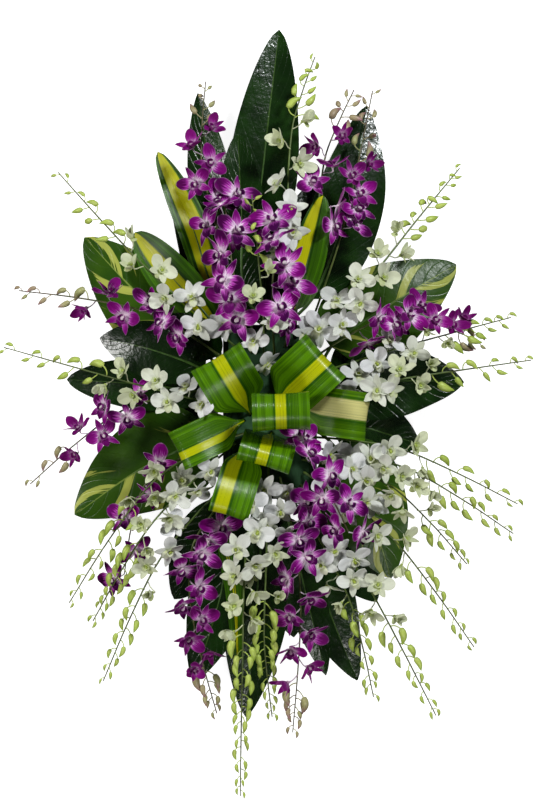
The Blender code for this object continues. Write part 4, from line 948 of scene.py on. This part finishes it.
# Blooms and buds
def petal_grid(angle, length, form, pose, draw, rows=PETAL_ROWS, columns=PETAL_COLUMNS):
    """A petal from the bloom's middle outward, in the bloom's own axes. Its pose is how steeply it
    rises from the bloom's plane at first, how far it then bends back, how far its sides curl up,
    and its roll and twist about its own line.
    """
    width, widest, point = form
    rise, bend, curl, roll, twist = pose
    along, across = np.sin(np.linspace(0, math.pi / 2, rows)), np.linspace(-1, 1, columns)
    outline = np.sin(math.pi * np.minimum(along, 1) ** widest) ** point
    half = (width / 2 * np.maximum(outline, PETAL_NECK * (1.1 - along)))[:, None]
    slope = np.radians(rise) - np.radians(bend) * along
    steps = np.diff(along, prepend=0.0) * length
    out, up = np.cumsum(np.cos(slope) * steps), np.cumsum(np.sin(slope) * steps)
    a = math.radians(angle)
    radial, tangent, above = np.array(
        ((math.cos(a), math.sin(a), 0), (-math.sin(a), math.cos(a), 0), (0, 0, 1.0))
    )
    level = -np.sin(slope)[:, None] * radial + np.cos(slope)[:, None] * above
    turn = np.radians(roll + twist * along)[:, None]
    side = tangent * np.cos(turn) + level * np.sin(turn)
    normal = level * np.cos(turn) - tangent * np.sin(turn)
    waves = draw.uniform(*WAVES) * along[:, None] + draw.random() + 0.22 * np.sign(across)
    ripple = np.sin(2 * math.pi * waves) * np.abs(across) ** 3 * PETAL_RIPPLE * along[:, None]
    groove = PETAL_GROOVE * np.exp(-(across[None, :] / GROOVE_WIDTH) ** 2)
    sway = (draw.uniform(*SWAY) * length * along ** 2)[:, None]
    grid = (
        out[:, None, None] * radial + up[:, None, None] * above
        + (half * across[None, :] + sway)[..., None] * side[:, None, :]
        + (half * (curl * across[None, :] ** 2 - groove + ripple))[..., None] * normal[:, None, :]
    )
    return grid, along, across


def placed_grid(grid, matrix, above=0.0):
    """A grid moved from the bloom's own axes to the wreath's."""
    turn, move = np.array(matrix.to_3x3()), np.array(matrix.translation)
    return (grid + np.array((0, 0, above))) @ turn.T + move


def add_bloom(skin, bloom, kind, seed):
    """One orchid bloom: three sepals, two broad petals, a three-lobed lip and the column."""
    draw = random.Random(seed)
    size, matrix = bloom["radius"], bloom_matrix(bloom)
    closing = 1 - bloom["open"]
    tone = min(1.0, closing * YOUNG_TONE)
    for angle, length, broad in PETALS:
        width, widest, point = FORMS[kind]["petal" if broad else "sepal"]
        bend = draw.uniform(*BEND) - CLOSING_BEND * closing
        rise = OPEN_CUP + (CLOSING_CUP + CLOSING_RISE) * closing + bend / 2 + draw.uniform(*RISE)
        curl = draw.uniform(*CURL) + CLOSING_CURL * closing
        pose = (rise, bend, curl, draw.uniform(*ROLL), draw.uniform(*TWIST))
        turned, long = angle + draw.uniform(*TURN), length * size * draw.uniform(*LENGTH)
        wide = width * size * draw.uniform(*WIDTH) * (1 - CLOSING_WIDTH * closing)
        grid, along, across = petal_grid(turned, long, (wide, widest, point), pose, draw)
        placed = placed_grid(grid, matrix, PETAL_ABOVE if broad else 0.0)
        add_sheet(skin, placed, PETAL_THICK, PETAL if broad else SEPAL, along, across, tone)
    add_lip(skin, matrix, size, kind, closing, tone, draw)


def add_lip(skin, matrix, size, kind, closing, tone, draw):
    """A bloom's lip, whose middle lobe hangs forward and whose side lobes stand round the column."""
    rise, bend = LIP_RISE[0] + LIP_RISE[1] * closing, LIP_BEND[0] + draw.uniform(*LIP_BEND[1:])
    lobes = [(-90, LIP_LENGTH, FORMS[kind]["lip"], (rise, bend, LIP_CURL))]
    for hand in (-1, 1):
        lobes.append((-90 + hand * SIDE_LOBE_TURN, SIDE_LOBE_LENGTH, SIDE_LOBE_FORM, SIDE_LOBE_POSE))
    for angle, length, (width, widest, point), bends in lobes:
        pose = (*bends, draw.uniform(*TURN), 0.0)
        form = (width * size, widest, point)
        grid, along, across = petal_grid(angle, length * size, form, pose, draw, LOBE_ROWS, LOBE_COLUMNS)
        add_sheet(skin, placed_grid(grid, matrix, LIP_ABOVE), PETAL_THICK, LIP, along, across, tone)
    line = [matrix @ (Vector((0, y, z)) * size) for y, z in COLUMN_SPINE]
    add_tube(skin, line, [r * size for r in COLUMN_RADII], 6, LIP, COLUMN_ALONG, tone)


def add_pedicel(skin, bloom, tone):
    """The curved stalk from the stem to a bloom's back, thicker where they meet."""
    start, centre, face = bloom["start"], bloom["centre"], bloom["face"]
    away = centre - start
    sag = DOWN_PAGE * away.length * PEDICEL_SAG
    knots = [
        start, start + away * 0.35 - face * 0.6 + sag, centre - face * PEDICEL_BACK + sag * 0.5,
        centre - face * 0.3,
    ]
    points = catmull_rom(knots, PEDICEL_STEPS)
    radii = []
    for k in range(len(points)):
        waist = PEDICEL_WAIST * math.sin(math.pi * min(1, k / 8))
        radii.append(PEDICEL_FOOT - waist + PEDICEL_NECK * max(0, (k - 7) / 4) ** 1.5)
    add_tube(skin, points, radii, 6, PETAL, [PEDICEL_ALONG] * len(points), tone)


def add_bud(skin, bud, seed):
    """A bud: its stalk curves out and over, and its body is bean-shaped, blunt at the stalk."""
    start, stalk, nose, length = bud["start"], bud["stalk"], bud["nose"], bud["length"]
    neck, belly = start + stalk * bud["stalk_length"], bud["belly"] * BUD_FATTER
    bow = (stalk - nose * stalk.dot(nose)) * (length * BUD_BEND)
    knots = [
        start, start + (stalk * 0.5 - nose * BUD_ARCH) * bud["stalk_length"], neck,
        neck + nose * length * 0.45 + bow, neck + nose * length - bow * 0.4,
    ]
    points = catmull_rom(knots, BUD_STEPS)
    last = len(points) - 1
    along = [max(0.0, (k - BUD_NECK) / (last - BUD_NECK)) for k in range(last + 1)]
    thin = BUD_STALK_R * (0.6 + 0.4 * bud["belly"] / BUD_R)
    radii = []
    for through in along:
        swell = math.sin(math.pi * (BUD_BLUNT + (1 - BUD_BLUNT) * through) ** 0.86) ** 0.8
        radii.append(max(BUD_LEAST_R, belly * swell) if through else thin)
    add_tube(skin, points, radii, 8, BUD, along, random.Random(seed).uniform(0, 1))


def add_stem(skin, points):
    """A stem, drawn finer along its own line."""
    fine = catmull_rom(points, [STEM_FINE_STEPS] * (len(points) - 1))
    last = len(fine) - 1
    add_tube(skin, fine, stem_radii(fine), 8, STEM, [i / last for i in range(last + 1)])


def spray_piece(name, placed, kind, materials):
    """A whole spray: stem, stalks, blooms and every bud."""
    skin = Skin()
    add_stem(skin, placed["points"])
    for i, bloom in enumerate(placed["blooms"]):
        add_bloom(skin, bloom, kind, f"{name} bloom {i}")
        add_pedicel(skin, bloom, 1.0 - bloom["open"])
    for i, bud in enumerate(placed["buds"]):
        add_bud(skin, bud, f"{name} bud {i}")
    return skin.piece(name + "_fine", materials)


# Leaves and the bow
def striped_sheet(skin, name, grid, thick, along, across):
    """A blade, its tone running across it from -1 to 1 over its yellow stripe."""
    middle, width = STRIPES.get(name, (0.0, 1.0))
    add_sheet(skin, np.array(grid), thick, 0, along, across, (across - middle) / width)


def add_leaf(skin, name, placed):
    """A leaf: a thin blade with a sunken midrib and waved sides, on a round stalk that runs on
    under it.
    """
    form, draw = placed["form"], random.Random(name)
    rows = leaf_frames(form, placed["root"], placed["out"], placed["depth"], placed["lift"], LEAF_STEPS)
    start = sum(LEAF_STEPS[:3])
    blade = rows[start:]
    spread = np.linspace(1, -1, LEAF_COLUMNS)
    across = np.sign(spread) * np.abs(spread) ** 1.4
    waves, phases = draw.uniform(*LEAF_WAVES), (draw.random(), draw.random())
    grid = []
    for row in blade:
        half, share = row[3], row[4]
        depth = MIDRIB_DEPTH * min(1.0, half / MIDRIB_FULL) * (1 - share)
        line = []
        for c in across:
            turn = 2 * math.pi * (waves * share + phases[c > 0])
            wave = math.sin(turn) * abs(c) ** 2.2 * LEAF_WAVE_HEIGHT * half
            groove = depth * math.exp(-(c / MIDRIB_WIDTH) ** 2)
            line.append(tuple(leaf_point(form[0], row, float(c), wave - groove)))
        grid.append(line)
    striped_sheet(skin, name, grid, LEAF_THICK * 0.8, [row[4] for row in blade], across)
    shown = rows[:start + int(len(blade) * RIB_SHARE)]
    under = [row[0] - row[2] * min(1.0, i / start) * RIB_UNDER for i, row in enumerate(shown)]
    radii = [RIB_R] * (start + 1)
    for i in range(1, len(shown) - start):
        radii.append(RIB_R * (1 - i / (len(shown) - start)) ** 0.8 + RIB_TIP_R)
    add_tube(skin, under, radii, 8, 1, [0.0] * len(shown))


def leaf_piece(name, plan, materials):
    """A leaf with the side leaves on its stalk."""
    skin = Skin()
    add_leaf(skin, name, plan["leaves"][name])
    for side, placed in plan["side_leaves"].items():
        if SIDE_LEAVES[side][0] == name:
            add_leaf(skin, side, placed)
    return skin.piece(name + "_fine", materials)


def loop_piece(name, placed, paint):
    """A loop of the bow: one strap leaf folded round, a little creased along its middle."""
    rows = loop_rows(name, placed["root"], placed["lift"], LOOP_FINE_STEPS)
    across = np.linspace(-1, 1, LOOP_COLUMNS)
    grid = []
    for point, side, normal, half, _ in rows:
        creases = [normal * (half * LOOP_CREASE * (abs(c) ** 1.5 - 0.4)) for c in across]
        grid.append([tuple(point + side * (half * c) + crease) for c, crease in zip(across, creases)])
    skin, last = Skin(), len(rows) - 1
    striped_sheet(skin, name, grid, [row[4] for row in rows], [i / last for i in range(last + 1)], across)
    return skin.piece(name + "_fine", [paint])


# Materials
class Value:
    """A number of a material that plus, minus, times, power and abs work on."""

    def __init__(self, paint, socket):
        self.paint, self.socket = paint, socket

    def __add__(self, other):
        return self.paint.maths("ADD", self, other)

    def __sub__(self, other):
        return self.paint.maths("SUBTRACT", self, other)

    def __mul__(self, other):
        return self.paint.maths("MULTIPLY", self, other)

    def __pow__(self, other):
        return self.paint.maths("POWER", self, other)

    def __abs__(self):
        return self.paint.maths("ABSOLUTE", self)


class Paint:
    """A material, with short words for its nodes. Its patterns follow the marks of a piece."""

    def __init__(self, name, roughness, specular=0.5):
        self.material = bpy.data.materials.new(name)
        self.material.use_nodes = True
        self.tree = self.material.node_tree
        self.shader = self.tree.nodes["Principled BSDF"]
        self.shader.inputs["Roughness"].default_value = roughness
        self.shader.inputs["Specular IOR Level"].default_value = specular
        marks = self.node("Attribute", {}, attribute_name="mark").outputs
        split = self.node("SeparateXYZ", {0: Value(self, marks["Vector"])}).outputs
        self.along, self.across, self.tone = (Value(self, mark) for mark in split)
        self.back = Value(self, marks["Alpha"])

    def node(self, kind, inputs, **settings):
        """A node with its settings made and its sockets filled or joined."""
        made = self.tree.nodes.new("ShaderNode" + kind)
        for key, value in settings.items():
            setattr(made, key, value)
        for socket, value in inputs.items():
            self.join(made.inputs[socket], value)
        return made

    def join(self, socket, value):
        """Links a socket to a value, or sets it to a constant."""
        if isinstance(value, Value):
            self.tree.links.new(value.socket, socket)
        else:
            socket.default_value = value

    def value(self, which, *node, **settings):
        """One output of a new node."""
        return Value(self, self.node(*node, **settings).outputs[which])

    def maths(self, operation, a, b=0.0):
        """The result of one operation."""
        return self.value(0, "Math", {0: a, 1: b}, operation=operation)

    def step(self, value, low, high):
        """Goes smoothly from 0 at low to 1 at high."""
        inputs = {0: value, 1: low, 2: high}
        return self.value(0, "MapRange", inputs, interpolation_type="SMOOTHSTEP")

    def mix(self, share, a, b):
        """From colour a to colour b by the share."""
        a, b = ((*c, 1.0) if isinstance(c, tuple) else c for c in (a, b))
        return self.value(MIXED, "Mix", {0: share, MIX_A: a, MIX_B: b}, data_type="RGBA")

    def noise(self, vector, scale, detail=2.0):
        """Noise from 0 to 1 over a vector."""
        return self.value("Fac", "TexNoise", {"Vector": vector, "Scale": scale, "Detail": detail})

    def mottling(self, scale, detail=2.0):
        """Noise over the piece's own place."""
        return self.noise(self.value("Object", "TexCoord", {}), scale, detail)

    def drawn(self, x, y, z, scale=1.0, detail=2.0):
        """Noise over three values, drawn out along those that change slowly."""
        return self.noise(self.value(0, "CombineXYZ", {0: x, 1: y, 2: z}), scale, detail)

    def finish(self, colour, height, depth):
        """Sets the colour, and a bump whose height is depth in metres."""
        self.join(self.shader.inputs["Base Color"], colour)
        bump = self.value(0, "Bump", {"Height": height, "Distance": depth, "Strength": 1.0})
        self.join(self.shader.inputs["Normal"], bump)
        return self.material


def shade(colour, share):
    """A colour made darker or lighter by a share."""
    return tuple(c * share for c in colour)


def petal_paint(name):
    """A petal: pale at its base in streaks with a brighter halo round that, with painted shade in mottled
    patches and towards its tip, finely veined along its length, with a thin pale rim and a duller back.
    """
    body, painted_shade, throat, halo, back, (low, high), rim, young = PETAL_COLOURS[name]
    paint = Paint(name, 0.65, 0.06)
    along, across, tone = paint.along, paint.across, paint.tone
    streaks = paint.drawn(along * 0.8, across * 3.0, tone, 3.0)
    fine = paint.drawn(along, across * 11.0, tone, 2.0)
    # Painted shade: the body turns to its darker shaded copy in mottled patches, more towards the tip.
    shade_patches = paint.step(paint.mottling(26.0, 1.0), 0.40, 0.62)
    colour = paint.mix(paint.maths("MINIMUM", shade_patches + along * 0.35, 1.0), body, painted_shade)
    colour = paint.mix(paint.step(fine, 0.45, 0.75) * 0.35, colour, shade(body, 0.45))
    far = along - (streaks - 0.5) * 0.8
    base = paint.mix(paint.step(far, low - 0.14, low + 0.06), throat, halo)
    colour = paint.mix(paint.step(far, low, high), base, colour)
    edge = paint.maths("MAXIMUM", abs(across) ** 16.0, paint.step(along, 0.93, 1.0))
    colour = paint.mix(edge * rim, colour, RIM_COLOUR)
    colour = paint.mix(paint.back * 0.7, colour, back)
    return paint.finish(paint.mix(tone * 0.6, colour, young), fine, 0.0003)


def bud_paint(name):
    """A bud, its tip tinted and its skin faintly ribbed."""
    body, tip = BUD_COLOURS[name]
    paint = Paint(name, 0.42)
    ribs = paint.drawn(paint.along, paint.across * 3.0, paint.tone, 3.0)
    colour = paint.mix(paint.step(ribs, 0.35, 0.7), body, shade(body, 0.72))
    colour = paint.mix(paint.tone * 0.35, colour, tip)
    colour = paint.mix(paint.step(paint.along, 0.45, 1.0) * 0.6, colour, tip)
    return paint.finish(colour, ribs, 0.0003)


def stem_paint(name):
    """A stem, green at its foot and darker towards its tip."""
    body, tip = STEM_COLOURS[name]
    paint = Paint(name, 0.45)
    mottled = paint.mottling(120.0)
    colour = paint.mix(paint.step(paint.along, 0.4, 1.0), body, tip)
    colour = paint.mix(paint.step(mottled, 0.4, 0.75), colour, shade(body, 0.6))
    return paint.finish(colour, mottled, 0.0002)


def leaf_veins(paint, count):
    """Side veins that leave the midrib and sweep towards the tip, as ridges from 0 to 1."""
    comb = paint.maths("SINE", (paint.along - abs(paint.across) * 0.24) * count)
    return paint.step(abs(comb), 0.25, 0.0)


def dark_leaf_paint():
    """A waxy dark leaf with a pale midrib, faint side veins and a wet, finely pitted gloss."""
    body, light = (0.003, 0.016, 0.001), (0.009, 0.038, 0.003)
    rib, under = (0.08, 0.15, 0.03), (0.03, 0.07, 0.02)
    paint = Paint("dark_leaf_fine", 0.20, 0.62)
    veins = leaf_veins(paint, 40.0)
    colour = paint.mix(paint.step(paint.mottling(22.0), 0.35, 0.7), body, light)
    colour = paint.mix(veins * 0.12, colour, shade(light, 1.8))
    colour = paint.mix(paint.step(abs(paint.across), 0.035, 0.012) * 0.55, colour, rib)
    colour = paint.mix(paint.back, colour, under)
    skin = paint.mottling(230.0, 4.0) + paint.mottling(38.0) * 3.0
    return paint.finish(colour, skin - veins * 0.5, 0.0004)


def marbled_paint():
    """A pothos leaf: green with yellow patches drawn out along its side veins."""
    dark, green, yellow = (0.010, 0.048, 0.002), (0.045, 0.11, 0.004), (0.40, 0.44, 0.08)
    rib, under = (0.24, 0.33, 0.06), (0.12, 0.20, 0.06)
    paint = Paint("marbled_leaf", 0.30, 0.28)
    across, veins = paint.across, leaf_veins(paint, 30.0)
    sweep = paint.along - abs(across) * 0.30
    side = paint.maths("SIGN", across) * 3.0
    patches = paint.drawn(sweep * 9.0, across * 0.7, side, 0.7, 3.0)
    broken = paint.drawn(sweep * 60.0, across, 0.0, 1.0, 3.0) - 0.5
    colour = paint.mix(paint.mottling(30.0), dark, green)
    colour = paint.mix(paint.step(patches + broken * 0.14, 0.57, 0.60), colour, yellow)
    colour = paint.mix(paint.step(abs(across), 0.028, 0.01) * 0.7, colour, rib)
    colour = paint.mix(paint.back * 0.7, colour, under)
    skin = paint.mottling(60.0) * 1.6 + paint.mottling(260.0, 3.0) * 0.5
    return paint.finish(colour, skin - veins * 0.5, 0.0004)


def striped_paint(name):
    """A dracaena leaf: a yellow stripe edged with dark lines, and fine lines all along."""
    edge, dark, stripe, roughness = STRIPED_COLOURS[name]
    paint = Paint(name, roughness, 0.34)
    along, across, off = paint.along, paint.across, abs(paint.tone)
    lines = paint.drawn(along * 0.25, across * 26.0, 0.0)
    broad = paint.drawn(along * 0.5, across * 7.0, 3.0)
    pins = paint.drawn(along * 0.2, across * 44.0, 7.0)
    green = paint.mix(paint.step(lines, 0.35, 0.72), edge, dark)
    green = paint.mix(paint.step(broad, 0.52, 0.60), green, shade(edge, 1.25))
    yellow = paint.mix(paint.step(lines, 0.45, 0.80), stripe, shade(stripe, 0.70))
    colour = paint.mix(paint.step(off + (lines - 0.5) * 0.5, 0.85, 1.0), yellow, green)
    bars = paint.step(off, 1.0, 1.12) * paint.step(off, 1.36, 1.24)
    colour = paint.mix(bars * 0.85, colour, dark)
    colour = paint.mix(paint.step(pins, 0.60, 0.68) * 0.75, colour, dark)
    return paint.finish(colour, lines, 0.0004)


def plain_paint(name, colour, roughness, grain, depth):
    """A plain surface with an even fine grain, for the foam and its tray."""
    paint = Paint(name, roughness)
    pits = paint.mottling(grain, 4.0)
    return paint.finish(paint.mix(pits, shade(colour, 0.7), colour), pits, depth)


# Stage
def add_lamp(name):
    """A soft square lamp aimed at the wreath's middle."""
    place, size, power, colour = LAMPS[name]
    lamp = bpy.data.lights.new(name, "AREA")
    lamp.shape = "SQUARE"
    lamp.size, lamp.energy, lamp.color = size, power, colour
    item = in_scene(name, lamp)
    item.location = place
    aim = Vector((0.0, 0.0, VIEW_Z)) - item.location
    item.rotation_euler = aim.to_track_quat("-Z", "Y").to_euler()


def add_floor():
    """A plain white floor under the wreath, bright as paper on a light table."""
    mesh = bpy.data.meshes.new("floor")
    corners = [(x * FLOOR_REACH, y * FLOOR_REACH) for x, y in ((-1, -1), (1, -1), (1, 1), (-1, 1))]
    mesh.from_pydata([(*corner, -FLOOR_GAP) for corner in corners], [], [(0, 1, 2, 3)])
    floor = in_scene("floor", mesh)
    white = bpy.data.materials.new("floor_white")
    white.use_nodes = True
    shader = white.node_tree.nodes["Principled BSDF"]
    shader.inputs["Base Color"].default_value = (0.6, 0.6, 0.6, 1)
    shader.inputs["Roughness"].default_value = 0.9
    shader.inputs["Emission Color"].default_value = (1, 1, 1, 1)
    shader.inputs["Emission Strength"].default_value = FLOOR_GLOW
    mesh.materials.append(white)
    floor.visible_diffuse = False
    floor.visible_glossy = False


def add_camera():
    """The camera, straight above the wreath at the distance of a portrait."""
    data = bpy.data.cameras.new("camera")
    data.sensor_fit = "VERTICAL"
    data.sensor_height = SENSOR
    data.lens = SENSOR * CAMERA_HEIGHT / VIEW_HEIGHT
    camera = in_scene("camera", data)
    camera.location = (VIEW_X, VIEW_Y, CAMERA_HEIGHT + VIEW_Z)
    bpy.context.scene.camera = camera


def set_light():
    """Three soft lamps and a faint even sky."""
    world = bpy.data.worlds.new("world")
    world.use_nodes = True
    sky = world.node_tree.nodes["Background"].inputs
    sky["Color"].default_value = SKY_COLOUR
    sky["Strength"].default_value = SKY_STRENGTH
    bpy.context.scene.world = world
    for name in LAMPS:
        add_lamp(name)
    bpy.context.scene.view_settings.view_transform = "Standard"


def stand_in(piece, node, slot):
    """Lets a fine piece take its solid's place."""
    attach(piece, "root")
    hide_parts(node)


def paint_node(node, paint):
    """Gives a solid that is kept its paint."""
    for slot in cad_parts[node].material_slots:
        slot.material = paint


def dress():
    """Replaces each solid with its fine piece and paints the holder."""
    plan = lay_out()
    stalk = stem_paint("leaf_stalk")
    paints = {}
    for kind in FORMS:
        paints[kind] = [stem_paint(kind + "_spray_stem"), bud_paint(kind + "_spray_bud")]
        paints[kind] += [petal_paint(f"{kind}_{part}") for part in ("petal", "sepal", "lip")]
    leaf_paints = {
        "dark_leaf": dark_leaf_paint(),
        "variegated_leaf": marbled_paint(),
        "striped_leaf": striped_paint("striped_blade"),
    }
    bow, pale_bow = striped_paint("bow_band"), striped_paint("pale_bow_band")
    for name, placed in plan["sprays"].items():
        kind = "white" if name in WHITE_SPRAYS else "purple"
        stand_in(spray_piece(name, placed, kind, paints[kind]), name, kind + "_orchid")
    for name in LEAVES:
        slot = {"strap": "striped_leaf", "heart": "variegated_leaf"}.get(LEAVES[name][0], "dark_leaf")
        stand_in(leaf_piece(name, plan, [leaf_paints[slot], stalk]), name, slot)
    for name, placed in plan["loops"].items():
        stand_in(loop_piece(name, placed, pale_bow if name in PALE_LOOPS else bow), name, "striped_leaf")
    paint_node("foam_block", plain_paint("soaked_foam", (0.03, 0.10, 0.035), 0.9, 900.0, 0.0008))
    paint_node("holder_tray", plain_paint("moulded_tray", (0.012, 0.03, 0.018), 0.4, 60.0, 0.0001))


dress()
add_floor()
add_camera()
set_light()
bpy.context.view_layer.update()
